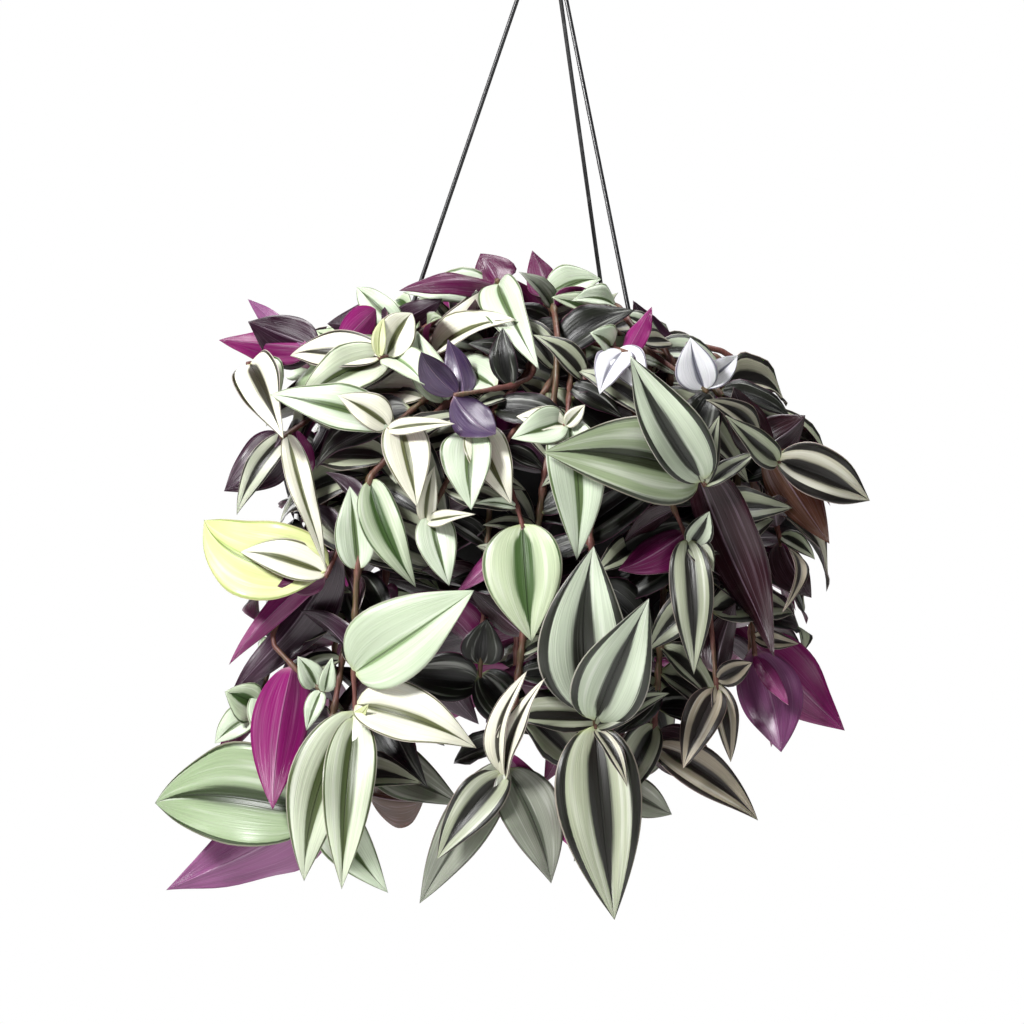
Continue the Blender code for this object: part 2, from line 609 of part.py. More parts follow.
def in_bush(leaf, depth):
    """Whether a leaf stays under the skyline, this far behind the bush's front, and off the pot."""
    for v in (0.5, 1.0):
        place = leaf.point(0, v) - rim_frame((0, 0, 0))
        if place.z < 0 and math.hypot(place.x, place.y) < RIM_RADIUS:
            return False
        top = np.interp(place.x, [x for x, _ in SKYLINE], [z for _, z in SKYLINE])
        if place.z > top or place.y < front_depth(place.x, place.z, -depth):
            return False
    return True


def rule_leaf(route, back, length, hand, flip, lean, swing, lift, share):
    """A leaf placed by rule: out to one side of its stem, upper side out and up unless flipped."""
    base, ahead = at_distance_back(route, back)
    out = Vector((base.x, base.y, 0)).normalized()
    side = ahead.cross(out)
    if side.length < 0.2:
        side = UP.cross(out)
    side.normalize()
    age = min(1.0, back / GROWN_AT)
    spread = math.radians(YOUNG_SPREAD + (GROWN_SPREAD - YOUNG_SPREAD) * age + swing)
    aim = ahead * math.cos(spread) + side * (hand * math.sin(spread)) + out * lean
    aim = aim.normalized() + UP * (math.sin(math.radians(lift)) + (FLIPPED_RISE if flip else -DROOP))
    aim.normalize()
    look = out * 0.8 + UP * 0.55
    if flip:
        look = -out + UP * 0.5
    size = length * share
    return Leaf(base, base + aim * size, size * LEAF_SLIMNESS, look, RULE_ARCH)


def first_clear(choices, others, own):
    """The first choice of leaf that is clear of others and own, or else of others alone."""
    second_best = None
    for leaf in choices:
        guard = tree_of(blade(leaf, LEAF_THICKNESS + 2 * LEAF_GAP, LEAF_GAP))
        if meets(guard, others):
            continue
        if not meets(tree_of(blade(leaf, LEAF_THICKNESS, 0, CLEAR_FROM)), own):
            return leaf
        second_best = second_best or leaf
    return second_best


def rule_places():
    """How far back from its growing tip each leaf of a shoot grows, and its length, by rule."""
    back = FIRST_SPACING / 2
    for k in range(LEAVES_BY_RULE):
        yield back, LONGEST_LEAF * (1 - YOUNGEST_SHARE * math.exp(-k / YOUNG_LEAVES))
        back += min(LAST_SPACING, FIRST_SPACING + SPACING_GROWTH * k)


def grow_leaves(shoots, routes):
    """Every stem's leaves: first those of the front shoots, and then the rest by rule."""
    fixed = [pot_guard()]
    fixed += [tube_guard(arm_points(bearing), ARM_RADIUS + 0.0005) for bearing in ARM_BEARINGS]
    stems = {name: tube_guard(route, STEM_RADIUS) for name, route in routes.items()}
    leaves = {name: [] for name in routes}
    guards = {name: [] for name in routes}
    outer_guards = {name: [] for name in routes}

    def place(name, choices):
        others = fixed + [stem for key, stem in stems.items() if key != name]
        others += [guard for key in guards if key != name for guard in guards[key]]
        leaf = first_clear(choices, others, outer_guards[name])
        if leaf is not None:
            leaves[name].append(leaf)
            guards[name].append(tree_of(blade(leaf, LEAF_THICKNESS)))
            outer_guards[name].append(tree_of(blade(leaf, LEAF_THICKNESS, 0, CLEAR_FROM)))
        return leaf is not None

    wanted = [(name, row) for name, _, _, rows in shoots for row in rows]
    wanted.sort(key=lambda item: -item[1][4])
    missed = 0
    for name, row in wanted:
        choices = (
            front_leaf(routes[name], row, nearer, swing, share)
            for share in OWN_SHARES
            for swing in OWN_SWINGS
            for nearer in NEARER_STEPS
        )
        if not place(name, choices):
            missed += 1
            print(f"no room for a leaf of {name} at {row[1]}, {row[2]}")
    own_total = sum(len(found) for found in leaves.values())

    chance = random.Random(SEED)
    for name, _, _, rows in shoots:
        start = max([row[0] for row in rows], default=-FIRST_FILL) + FIRST_FILL
        hand = chance.choice((-1, 1))
        stem_length = sum((q - p).length for p, q in zip(routes[name], routes[name][1:]))
        grown_here = 0
        for back, length in rule_places():
            hand = -hand
            flip = chance.random() < UNDERSIDE_SHARE
            grown = length * chance.uniform(0.85, 1.08)
            if back < start - 0.001 or back > stem_length - 0.030:
                continue
            if rows and grown_here == LEAVES_BEHIND:
                continue
            choices = (
                rule_leaf(routes[name], back, grown, hand, flip, lean, swing, lift, share)
                for share in RULE_SHARES
                for lean in (INWARD if rows else OUTWARD)
                for lift in RULE_LIFTS
                for swing in RULE_SWINGS
            )
            depth = INNER_DEPTH if rows else 0
            grown_here += place(name, (leaf for leaf in choices if in_bush(leaf, depth)))
    total = sum(len(found) for found in leaves.values())
    print(f"{own_total} leaves of the front shoots, {missed} without room, {total} leaves in all")
    return leaves


def material(name, colour, roughness):
    made = bpy.data.materials.new(name)
    made.use_nodes = True
    shader = made.node_tree.nodes["Principled BSDF"]
    shader.inputs["Base Color"].default_value = (*colour, 1)
    shader.inputs["Roughness"].default_value = roughness
    made.diffuse_color = (*colour, 1)
    return made


def add_object(name, mesh, finish, collection):
    made = bpy.data.objects.new(name, mesh)
    made.data.materials.clear()
    made.data.materials.append(finish)
    collection.objects.link(made)
    return made


def mesh_from(bm, name):
    mesh = bpy.data.meshes.new(name)
    bm.to_mesh(mesh)
    bm.free()
    return mesh


def add_line(name, points, cyclic=False):
    """A curve object of straight stretches through the points."""
    curve = bpy.data.curves.new(name, "CURVE")
    curve.dimensions = "3D"
    spline = curve.splines.new("POLY")
    spline.points.add(len(points) - 1)
    spline.use_cyclic_u = cyclic
    for target, point in zip(spline.points, points):
        target.co = (*point, 1)
    made = bpy.data.objects.new(name, curve)
    bpy.context.scene.collection.objects.link(made)
    return made


def mesh_from_curve(name, points, radius, sides):
    """A closed wire or stem of a few sides through the points, as a mesh."""
    corners = [polar(radius, 360 / sides * k, 0) for k in range(sides)]
    section = add_line("section", corners, cyclic=True)
    line = add_line(name, points)
    line.data.bevel_mode = "OBJECT"
    line.data.bevel_object = section
    line.data.use_fill_caps = True
    bpy.context.view_layer.update()
    evaluated = line.evaluated_get(bpy.context.evaluated_depsgraph_get())
    swept = bpy.data.meshes.new_from_object(evaluated)
    bm = bmesh.new()
    bm.from_mesh(swept)
    bmesh.ops.remove_doubles(bm, verts=bm.verts, dist=1e-6)
    bmesh.ops.recalc_face_normals(bm, faces=bm.faces)
    bpy.data.meshes.remove(swept)
    for used in (line, section):
        bpy.data.curves.remove(used.data)
    return mesh_from(bm, name)


def turned(name, profile, steps, finish, collection):
    """A shape turned about Z from a closed profile of radius and height."""
    bm = bmesh.new()
    corners = [bm.verts.new((radius, 0, z)) for radius, z in profile]
    edges = [bm.edges.new(pair) for pair in zip(corners, corners[1:] + corners[:1])]
    bmesh.ops.spin(
        bm, geom=corners + edges, cent=(0, 0, 0), axis=UP, angle=2 * math.pi, steps=steps,
        use_merge=True,
    )
    bmesh.ops.remove_doubles(bm, verts=bm.verts, dist=1e-6)
    bmesh.ops.dissolve_degenerate(bm, edges=bm.edges, dist=1e-7)
    bmesh.ops.recalc_face_normals(bm, faces=bm.faces)
    mesh = mesh_from(bm, name)
    made = add_object(name, mesh, finish, collection)
    mesh.shade_smooth()
    mesh.set_sharp_from_angle(angle=math.radians(35))
    return made


def drill(name, length, radius, place, sides, cutters):
    """Adds the cutter of a round hole along place's own Z axis."""
    bm = bmesh.new()
    bmesh.ops.create_cone(
        bm, cap_ends=True, segments=sides, radius1=radius, radius2=radius, depth=length, matrix=place,
    )
    cutter = bpy.data.objects.new(name, mesh_from(bm, name))
    cutter.hide_render = True
    cutter.display_type = "WIRE"
    cutters.objects.link(cutter)


def cut_away(target, cutters):
    """Takes every cutter of a collection away from the target, in one Boolean."""
    cut = target.modifiers.new("holes", "BOOLEAN")
    cut.operation = "DIFFERENCE"
    cut.operand_type = "COLLECTION"
    cut.collection = cutters


def make_pot(finish, collection, cutters):
    base_z = RIM_Z - POT_HEIGHT
    profile = (
        (0.0, base_z + FOOT_HEIGHT),
        (BASE_RADIUS - 0.007, base_z + FOOT_HEIGHT),
        (BASE_RADIUS - 0.005, base_z),
        (BASE_RADIUS, base_z),
        (WALL_TOP_RADIUS, RIM_Z - RIM_DEPTH),
        (RIM_RADIUS, RIM_Z - RIM_DEPTH),
        (RIM_RADIUS, RIM_Z),
        (WALL_TOP_RADIUS - WALL + 0.0004, RIM_Z),
        (WALL_TOP_RADIUS - WALL, RIM_Z - RIM_DEPTH),
        (BASE_RADIUS - WALL, base_z + FOOT_HEIGHT + WALL),
        (0.0, base_z + FOOT_HEIGHT + WALL),
    )
    pot = turned("pot", profile, 36, finish, collection)
    for k in range(DRAIN_HOLES):
        centre = polar(DRAIN_CIRCLE, 360 / DRAIN_HOLES * k, base_z + FOOT_HEIGHT)
        drill(f"drain_{k + 1}", 0.02, DRAIN_RADIUS, Matrix.Translation(centre), 10, cutters)
    for k, bearing in enumerate(ARM_BEARINGS):
        centre = rim_frame(polar(WALL_TOP_RADIUS, bearing, -ARM_EYE_DROP))
        turn = Matrix.Rotation(math.radians(bearing), 4, "Z") @ Matrix.Rotation(math.radians(90), 4, "Y")
        drill(f"eye_{k + 1}", 0.02, ARM_RADIUS + 0.0006, Matrix.Translation(centre) @ turn, 8, cutters)
    cut_away(pot, cutters)


def make_soil(routes, finish, collection, cutters):
    """The soil, a little domed, with a plain hole for each stem and a way past each arm's end."""
    base_z = RIM_Z - POT_HEIGHT + FOOT_HEIGHT + WALL + FIT_GAP
    slope = (WALL_TOP_RADIUS - BASE_RADIUS) / (POT_HEIGHT - RIM_DEPTH)
    top_z = RIM_Z - SOIL_DROP
    side_gap = WALL + FIT_GAP * 1.5
    profile = (
        (0.0, base_z),
        (BASE_RADIUS - side_gap, base_z),
        (BASE_RADIUS + slope * (top_z - base_z) - side_gap - 0.0006, top_z - 0.004),
        (WALL_TOP_RADIUS * 0.75, top_z - 0.001),
        (0.0, top_z),
    )
    soil = turned("soil", profile, 24, finish, collection)
    for name, route in routes.items():
        place = Matrix.Translation(route[0] + Vector((0, 0, 0.010)))
        drill(f"hole_{name}", 0.020 + 2 * FIT_GAP, HOLE_RADIUS, place, 5, cutters)
    cut_away(soil, cutters)


def make_hanger(finish, wire_finish, collection, cutters):
    for k, bearing in enumerate(ARM_BEARINGS):
        points = arm_points(bearing)
        mesh = mesh_from_curve(f"hanger_arm_{k + 1}", points, ARM_RADIUS, 6)
        add_object(f"hanger_arm_{k + 1}", mesh, wire_finish, collection)
        way = (points[0] - points[1]).normalized()
        turn = way.to_track_quat("Z", "Y").to_matrix().to_4x4()
        place = Matrix.Translation(points[0] - way * SOCKET_DEPTH) @ turn
        drill(f"socket_{k + 1}", 2 * SOCKET_DEPTH + 2 * FIT_GAP, ARM_RADIUS + FIT_GAP, place, 6, cutters)
    profile = (
        (0.0, HUB_Z),
        (HUB_RADIUS - 0.0008, HUB_Z),
        (HUB_RADIUS, HUB_Z + 0.0008),
        (HUB_RADIUS, HUB_Z + 0.009),
        (HUB_RADIUS * 0.62, HUB_Z + HUB_HEIGHT - 0.001),
        (HUB_RADIUS * 0.50, HUB_Z + HUB_HEIGHT),
        (0.0, HUB_Z + HUB_HEIGHT),
    )
    hub = turned("hanger_hub", profile, 20, finish, collection)
    hub_top = HUB_Z + HUB_HEIGHT
    place = Matrix.Translation((0, 0, hub_top))
    drill("hook_socket", 0.010, HOOK_WIRE + FIT_GAP, place, 8, cutters)
    cut_away(hub, cutters)

    centre_z = -(HOOK_RADIUS - HOOK_WIRE)
    bends = [Vector((0, 0, hub_top - 0.0045)), Vector((0, 0, hub_top + 0.004))]
    bends.append(Vector((0.0015, 0, centre_z - HOOK_RADIUS - 0.003)))
    for degrees in range(-65, 226, 20):
        turn = math.radians(degrees)
        bends.append(Vector((HOOK_RADIUS * math.cos(turn), 0, centre_z + HOOK_RADIUS * math.sin(turn))))
    bends.append(Vector((-HOOK_RADIUS * 0.86, 0, centre_z - HOOK_RADIUS * 0.96)))
    mesh = mesh_from_curve("hanger_hook", bends, HOOK_WIRE, 8)
    add_object("hanger_hook", mesh, wire_finish, collection)


def make_vine(name, route, leaves, finish, collection):
    """A stem with its leaves, joined into one solid."""
    vine = add_object(name, mesh_from_curve(name, route, STEM_RADIUS, STEM_SIDES), finish, collection)
    blades = new_collection("blades")
    for k, leaf in enumerate(leaves):
        if leaf.length() > SHORTEST_LEAF:
            add_object(f"leaf_{k}", mesh_from(blade(leaf, LEAF_THICKNESS), "blade"), finish, blades)
    join = vine.modifiers.new("leaves", "BOOLEAN")
    join.operation = "UNION"
    join.operand_type = "COLLECTION"
    join.collection = blades
    bpy.context.view_layer.update()
    evaluated = vine.evaluated_get(bpy.context.evaluated_depsgraph_get())
    joined = bpy.data.meshes.new_from_object(evaluated)
    vine.modifiers.clear()
    vine.data = joined
    for blade_object in list(blades.objects):
        bpy.data.objects.remove(blade_object)
    bpy.data.collections.remove(blades)
    return vine


def new_collection(name):
    made = bpy.data.collections.new(name)
    bpy.context.scene.collection.children.link(made)
    return made


def main():
    for old in list(bpy.data.objects):
        bpy.data.objects.remove(old)
    basket = new_collection("hanging_basket")
    black = material("black_plastic", (0.020, 0.020, 0.022), 0.45)
    wire = material("coated_wire", (0.030, 0.030, 0.030), 0.40)
    earth = material("soil", (0.045, 0.030, 0.020), 0.95)
    green = material("striped_leaf", (0.36, 0.46, 0.30), 0.40)

    shoots = plan_shoots()
    routes = route_stems(shoots)
    leaves = grow_leaves(shoots, routes)
    make_pot(black, basket, new_collection("pot_cutters"))
    make_soil(routes, earth, basket, new_collection("soil_cutters"))
    make_hanger(black, wire, basket, new_collection("hub_cutters"))
    faces = 0
    for name, route in routes.items():
        vine = make_vine(f"vine_{name}", route, leaves[name], green, basket)
        vine.data.calc_loop_triangles()
        faces += len(vine.data.loop_triangles)
    print(f"{len(routes)} vines with {faces} triangles")


main()
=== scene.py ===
# %% [markdown]
# # A hanging basket of striped inch plant
# The basket is taken to be a round plastic pot on three coated wires, filled with soil, and hidden
# by leafy stems that climb over its rim and hang down all round. Its looks are in the leaves: silver
# and green stripes above, glossy purple below. The imported solids are the frame that every finer
# piece is fitted to, so they are loaded first, and their box is kept.

# %% Load the frame
import itertools
import math
import random

import bmesh
import bpy
import numpy as np
from mathutils import Matrix, Vector, noise
from mathutils.bvhtree import BVHTree


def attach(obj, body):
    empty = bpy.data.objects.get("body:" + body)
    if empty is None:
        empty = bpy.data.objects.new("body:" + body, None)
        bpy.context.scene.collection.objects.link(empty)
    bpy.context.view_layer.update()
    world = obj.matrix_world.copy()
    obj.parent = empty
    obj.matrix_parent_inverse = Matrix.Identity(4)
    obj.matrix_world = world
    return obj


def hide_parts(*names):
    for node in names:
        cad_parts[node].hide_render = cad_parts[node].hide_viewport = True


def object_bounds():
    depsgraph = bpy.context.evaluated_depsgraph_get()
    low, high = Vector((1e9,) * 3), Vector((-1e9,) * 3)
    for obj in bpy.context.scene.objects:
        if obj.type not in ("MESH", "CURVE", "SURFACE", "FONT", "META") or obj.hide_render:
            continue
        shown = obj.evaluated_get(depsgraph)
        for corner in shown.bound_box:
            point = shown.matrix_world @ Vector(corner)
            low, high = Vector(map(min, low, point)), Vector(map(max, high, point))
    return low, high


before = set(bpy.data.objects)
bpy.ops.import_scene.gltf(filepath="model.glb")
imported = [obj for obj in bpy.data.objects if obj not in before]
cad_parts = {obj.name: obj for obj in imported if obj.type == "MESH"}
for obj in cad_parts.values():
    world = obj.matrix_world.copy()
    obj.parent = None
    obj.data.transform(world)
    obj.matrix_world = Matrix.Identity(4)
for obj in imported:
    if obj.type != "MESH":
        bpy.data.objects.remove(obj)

cad_box = [list(corner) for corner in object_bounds()]
print("solids:", len(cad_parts), "box:", cad_box)

# %% [markdown]
# The whole plant hangs below the point where the hook bears, which is the origin. The pot's rim is
# the level that everything else is measured from, and its sizes come back here because the finer
# pot, soil and wires are made again from them.

# %% Sizes of the basket
RIM_Z = -0.2744
POT_HEIGHT = 0.115
RIM_RADIUS = 0.0765
RIM_DEPTH = 0.008
WALL_TOP_RADIUS = 0.0732
BASE_RADIUS = 0.0520
WALL = 0.0018
FOOT_HEIGHT = 0.003
DRAIN_HOLES = 6
DRAIN_RADIUS = 0.0045
DRAIN_CIRCLE = 0.030
SOIL_DROP = 0.014
ROOT_DEPTH = 0.012
ARM_RADIUS = 0.0011
ARM_REACH = 0.0790
ARM_EYE_DROP = 0.0115
ARM_TOP_REACH = 0.0035
ARM_BEARINGS = (64.5, 184.5, 304.5)
HUB_Z = RIM_Z + 0.2165
HUB_HEIGHT = 0.018
HUB_RADIUS = 0.0068
SOCKET_DEPTH = 0.006
HOOK_WIRE = 0.0016
HOOK_RADIUS = 0.0140

# %% [markdown]
# A photographer hangs the basket in front of a white sweep, far from the camera, so a long lens at
# the height of the leaves sees it. The picture is 0.512 m wide at the pot, and its middle lies a
# little to the left of the pot and below the rim.

# %% Camera
PICTURE_WIDTH = 0.512
CAMERA_DISTANCE = 3.0
VIEW_CENTRE = Vector((-0.018, 0.0, RIM_Z - 0.0685))
camera = bpy.data.objects.new("camera", bpy.data.cameras.new("camera"))
bpy.context.scene.collection.objects.link(camera)
camera.data.sensor_width = 36
camera.data.lens = 36 * CAMERA_DISTANCE / PICTURE_WIDTH
camera.location = VIEW_CENTRE + Vector((0, -CAMERA_DISTANCE, 0))
camera.rotation_euler = (math.pi / 2, 0, 0)
bpy.context.scene.camera = camera
print("lens:", round(camera.data.lens), "mm")

# %% [markdown]
# The floor is a plain pale disc, well below the plant. It is smaller than the distance at which the
# level camera would see it, so that view has only white air behind the leaves, and views from above
# see the disc. It is a filled circle, inset once.

# %% Floor
FLOOR_Z = -0.80
FLOOR_RADIUS = 2.0
bm = bmesh.new()
bmesh.ops.create_circle(bm, cap_ends=True, segments=96, radius=FLOOR_RADIUS,
                        matrix=Matrix.Translation((0, 0, FLOOR_Z)))
bmesh.ops.inset_individual(bm, faces=bm.faces[:], thickness=0.4)
floor_mesh = bpy.data.meshes.new("floor")
bm.to_mesh(floor_mesh)
bm.free()
floor = bpy.data.objects.new("floor", floor_mesh)
bpy.context.scene.collection.objects.link(floor)
paint = bpy.data.materials.new("pale_floor")
paint.use_nodes = True
paint.node_tree.nodes["Principled BSDF"].inputs["Base Color"].default_value = (0.82, 0.82, 0.81, 1)
paint.node_tree.nodes["Principled BSDF"].inputs["Roughness"].default_value = 0.85
floor_mesh.materials.append(paint)
print("floor faces:", len(floor_mesh.polygons))

# %% [markdown]
# The light is plain and soft: a strong softbox high at the left, which gives the pale leaves on that
# side their glow and leaves the right side greyer, and weaker ones low at the right, above and
# behind. Each has a place, a size in metres and a power in watts. The air is white
# to look at but gives little light, as a lit paper wall far behind would, so the shade inside the
# plant stays deep.

# %% Light
LIGHTS = {
    "key": ((-1.4, -1.4, 1.05), 0.6, 84),
    "fill": ((1.7, -1.5, -0.35), 1.2, 6),
    "top": ((0.3, 0.2, 1.4), 0.8, 24),
    "back": ((-0.6, 2.2, 0.3), 1.4, 22),
}
AIR_SEEN = 1.0
AIR_LIGHT = 0.045
for name, (place, size, power) in LIGHTS.items():
    lamp = bpy.data.objects.new(name, bpy.data.lights.new(name, "AREA"))
    lamp.data.size = size
    lamp.data.energy = power
    lamp.location = place
    lamp.rotation_euler = (VIEW_CENTRE - lamp.location).to_track_quat("-Z", "Y").to_euler()
    bpy.context.scene.collection.objects.link(lamp)
world = bpy.data.worlds.new("white_air")
world.use_nodes = True
rays = world.node_tree.nodes.new("ShaderNodeLightPath")
brightness = world.node_tree.nodes.new("ShaderNodeMapRange")
brightness.inputs["To Min"].default_value = AIR_LIGHT
brightness.inputs["To Max"].default_value = AIR_SEEN
world.node_tree.links.new(rays.outputs["Is Camera Ray"], brightness.inputs["Value"])
air = world.node_tree.nodes["Background"]
air.inputs["Color"].default_value = (1, 1, 1, 1)
world.node_tree.links.new(brightness.outputs[0], air.inputs["Strength"])
bpy.context.scene.world = world
bpy.context.scene.view_settings.view_transform = "Standard"
print("lights:", len(LIGHTS))

# %% [markdown]
# Every finish starts from one Principled shader, and its pattern is a small recipe of nodes. A
# helper that adds a node and joins its inputs keeps each recipe short enough to read.

# %% Helper for finishes


class Finish:
    """A material being made. Each call adds a node and returns its output."""

    def __init__(self, name, **settings):
        self.material = bpy.data.materials.new(name)
        self.material.use_nodes = True
        self.tree = self.material.node_tree
        self.shader = self.tree.nodes["Principled BSDF"]
        for socket, value in settings.items():
            self.shader.inputs[socket.replace("_", " ")].default_value = value

    def put(self, socket, value):
        if isinstance(value, bpy.types.NodeSocket):
            self.tree.links.new(value, socket)
        else:
            socket.default_value = value

    def node(self, kind, output, **inputs):
        made = self.tree.nodes.new(kind)
        for name, value in inputs.items():
            self.put(made.inputs[name.replace("_", " ")], value)
        return made.outputs[output]

    def calc(self, operation, *values):
        made = self.tree.nodes.new("ShaderNodeMath")
        made.operation = operation
        for socket, value in zip(made.inputs, values):
            self.put(socket, value)
        return made.outputs[0]

    def step(self, value, low, high, start=0.0, end=1.0):
        """A smooth step from start to end as the value goes from low to high."""
        made = self.tree.nodes.new("ShaderNodeMapRange")
        made.interpolation_type = "SMOOTHSTEP"
        for name, number in (("Value", value), ("From Min", low), ("From Max", high),
                             ("To Min", start), ("To Max", end)):
            self.put(made.inputs[name], number)
        return made.outputs[0]

    def times(self, first, second):
        return self.calc("MULTIPLY", first, second)

    def plus(self, first, second):
        return self.calc("ADD", first, second)

    def mix(self, share, first, second):
        """A mix of two colours. Sockets 0, 6 and 7 take the share and the colours, 2 gives it."""
        made = self.tree.nodes.new("ShaderNodeMix")
        made.data_type = "RGBA"
        for socket, value in ((0, share), (6, first), (7, second)):
            self.put(made.inputs[socket], value)
        return made.outputs[2]

    def place(self):
        return self.node("ShaderNodeTexCoord", "Object")

    def stretched(self, vector, scale):
        return self.node("ShaderNodeMapping", "Vector", Vector=vector, Scale=scale)

    def speckle(self, vector, scale, detail=2.0):
        return self.node("ShaderNodeTexNoise", 0, Vector=vector, Scale=scale, Detail=detail)

    def attribute(self, name, output="Color"):
        made = self.tree.nodes.new("ShaderNodeAttribute")
        made.attribute_name = name
        return made.outputs[output]

    def bump(self, height, distance, strength):
        normal = self.node("ShaderNodeBump", "Normal", Height=height, Distance=distance,
                           Strength=strength)
        self.put(self.shader.inputs["Normal"], normal)

    def finish(self, colour, roughness):
        self.put(self.shader.inputs["Base Color"], colour)
        self.put(self.shader.inputs["Roughness"], roughness)
        return self.material


def seen(red, green, blue):
    """A colour given as it looks on a screen, 0 to 255, as the linear values that shaders take."""
    return tuple(((part / 255 + 0.055) / 1.055) ** 2.4 if part > 10 else part / 255 / 12.92
                 for part in (red, green, blue)) + (1.0,)


# %% [markdown]
# The markings of a leaf follow its outline, so they are made from the leaf's own map, which runs
# from 0 to 1 across and along, and not from a picture. Two noises, drawn out lengthways and moved
# by the leaf's own number, give the fine and the broad streaks.

# %% A leaf's map and streaks
STREAKS = 30.0
STREAK_LENGTH = 2.2
BROAD_STREAKS = 5.0
BROAD_LENGTH = 1.4
NUMBER_SPREAD = 40.0


def leaf_ways(made):
    """How far out from the midrib, how far along, and two noises that are drawn out lengthways."""
    split = made.tree.nodes.new("ShaderNodeSeparateXYZ")
    map_node = made.tree.nodes.new("ShaderNodeUVMap")
    map_node.uv_map = "leaf_map"
    made.put(split.inputs[0], map_node.outputs[0])
    across = made.calc("MULTIPLY_ADD", split.outputs["X"], 2.0, -1.0)
    out = made.calc("ABSOLUTE", across)
    along = split.outputs["Y"]
    number = made.attribute("leaf_number", "Fac")

    def drawn_out(times, length):
        vector = made.node(
            "ShaderNodeCombineXYZ", 0, X=made.times(across, times),
            Y=made.times(along, length), Z=made.times(number, NUMBER_SPREAD),
        )
        return made.speckle(vector, 1.0)

    return out, along, drawn_out(STREAKS, STREAK_LENGTH), drawn_out(BROAD_STREAKS, BROAD_LENGTH)


# %% [markdown]
# The upper side is striped along its length: a dark lens down the midrib, a broad silver band on
# each half with fine streaks, a dark band inside the margin, and a thin edge. The colours and the
# widths of the stripes come from attributes, so one material serves every leaf.

# %% Leaf, upper side


def leaf_upper():
    made = Finish("leaf_upper", Subsurface_Weight=0.06, Subsurface_Radius=(0.5, 1.0, 0.35),
                  Subsurface_Scale=0.0025, Coat_Weight=0.12, Coat_Roughness=0.35)
    out, along, fine, broad = leaf_ways(made)
    band = made.attribute("leaf_band")
    dark = made.attribute("leaf_dark")
    lens_width = made.attribute("leaf_band", "Alpha")
    margin_width = made.attribute("leaf_dark", "Alpha")
    shake = made.plus(made.calc("MULTIPLY_ADD", fine, 0.10, -0.05),
                      made.calc("MULTIPLY_ADD", broad, 0.16, -0.08))
    edge = made.plus(out, shake)

    opening = made.times(made.step(along, 0.0, 0.25), made.step(along, 0.5, 0.98, 1.0, 0.0))
    half_lens = made.times(lens_width, opening)
    lens = made.step(edge, made.calc("MULTIPLY_ADD", half_lens, 1.25, 0.03),
                     made.times(half_lens, 0.85))
    halo = made.step(edge, made.calc("MULTIPLY_ADD", half_lens, 2.0, 0.06), half_lens)
    margin_start = made.calc("SUBTRACT", 1.0, margin_width)
    margin = made.step(edge, made.calc("SUBTRACT", margin_start, 0.05), margin_start)
    rib = made.step(out, 0.035, 0.008)
    rim = made.step(out, 0.955, 0.985)

    deep = made.mix(0.55, dark, seen(14, 16, 10))
    green = made.mix(0.5, band, dark)
    colour = made.mix(made.times(halo, 0.55), band, green)
    streak = made.step(fine, 0.35, 0.70, 0.0, 0.36)
    colour = made.mix(streak, colour, green)
    bloom = made.step(broad, 0.50, 0.75, 0.0, 0.34)
    colour = made.mix(bloom, colour, seen(250, 252, 244))
    colour = made.mix(made.calc("MAXIMUM", lens, margin), colour, dark)
    colour = made.mix(made.times(rib, 0.7), colour, deep)
    edge_colour = made.mix(0.35, band, seen(140, 60, 110))
    colour = made.mix(made.times(rim, 0.75), colour, edge_colour)
    colour = made.mix(made.step(along, 0.09, 0.0, 0.0, 0.6), colour, seen(186, 196, 130))

    ridges = made.plus(made.times(fine, 0.5), made.times(broad, 0.5))
    groove = made.calc("MULTIPLY_ADD", rib, -0.9, ridges)
    made.bump(groove, 0.0006, 0.7)
    return made.finish(colour, made.step(fine, 0.2, 0.8, 0.30, 0.46))


# %% [markdown]
# The underside is satin purple, from bright magenta on the left to burgundy and brown on the right.
# It has a raised midrib and faint veins, and no stripes.

# %% Leaf, underside


def leaf_underside():
    made = Finish("leaf_underside", Subsurface_Weight=0.06, Subsurface_Radius=(1.0, 0.3, 0.6),
                  Subsurface_Scale=0.002, Coat_Weight=0.25, Coat_Roughness=0.22)
    out, along, fine, broad = leaf_ways(made)
    flat = made.attribute("leaf_under")
    rib = made.step(out, 0.05, 0.01)
    pale = made.mix(0.35, flat, seen(235, 205, 230))
    deep = made.mix(0.5, flat, seen(30, 0, 24))
    colour = made.mix(made.step(broad, 0.35, 0.75, 0.0, 0.6), flat, deep)
    colour = made.mix(made.step(fine, 0.5, 0.8, 0.0, 0.35), colour, pale)
    colour = made.mix(made.times(rib, 0.5), colour, pale)
    colour = made.mix(made.step(along, 0.10, 0.0, 0.0, 0.5), colour, seen(196, 150, 160))
    ridges = made.calc("MULTIPLY_ADD", rib, 0.8, made.times(fine, 0.45))
    made.bump(ridges, 0.0006, 0.7)
    return made.finish(colour, made.step(fine, 0.2, 0.8, 0.26, 0.42))


# %% [markdown]
# The stems are fleshy and pinkish brown, greener where they are young, with long streaks. Their
# pattern runs with the plant's height, because they mostly climb and hang.

# %% Stem


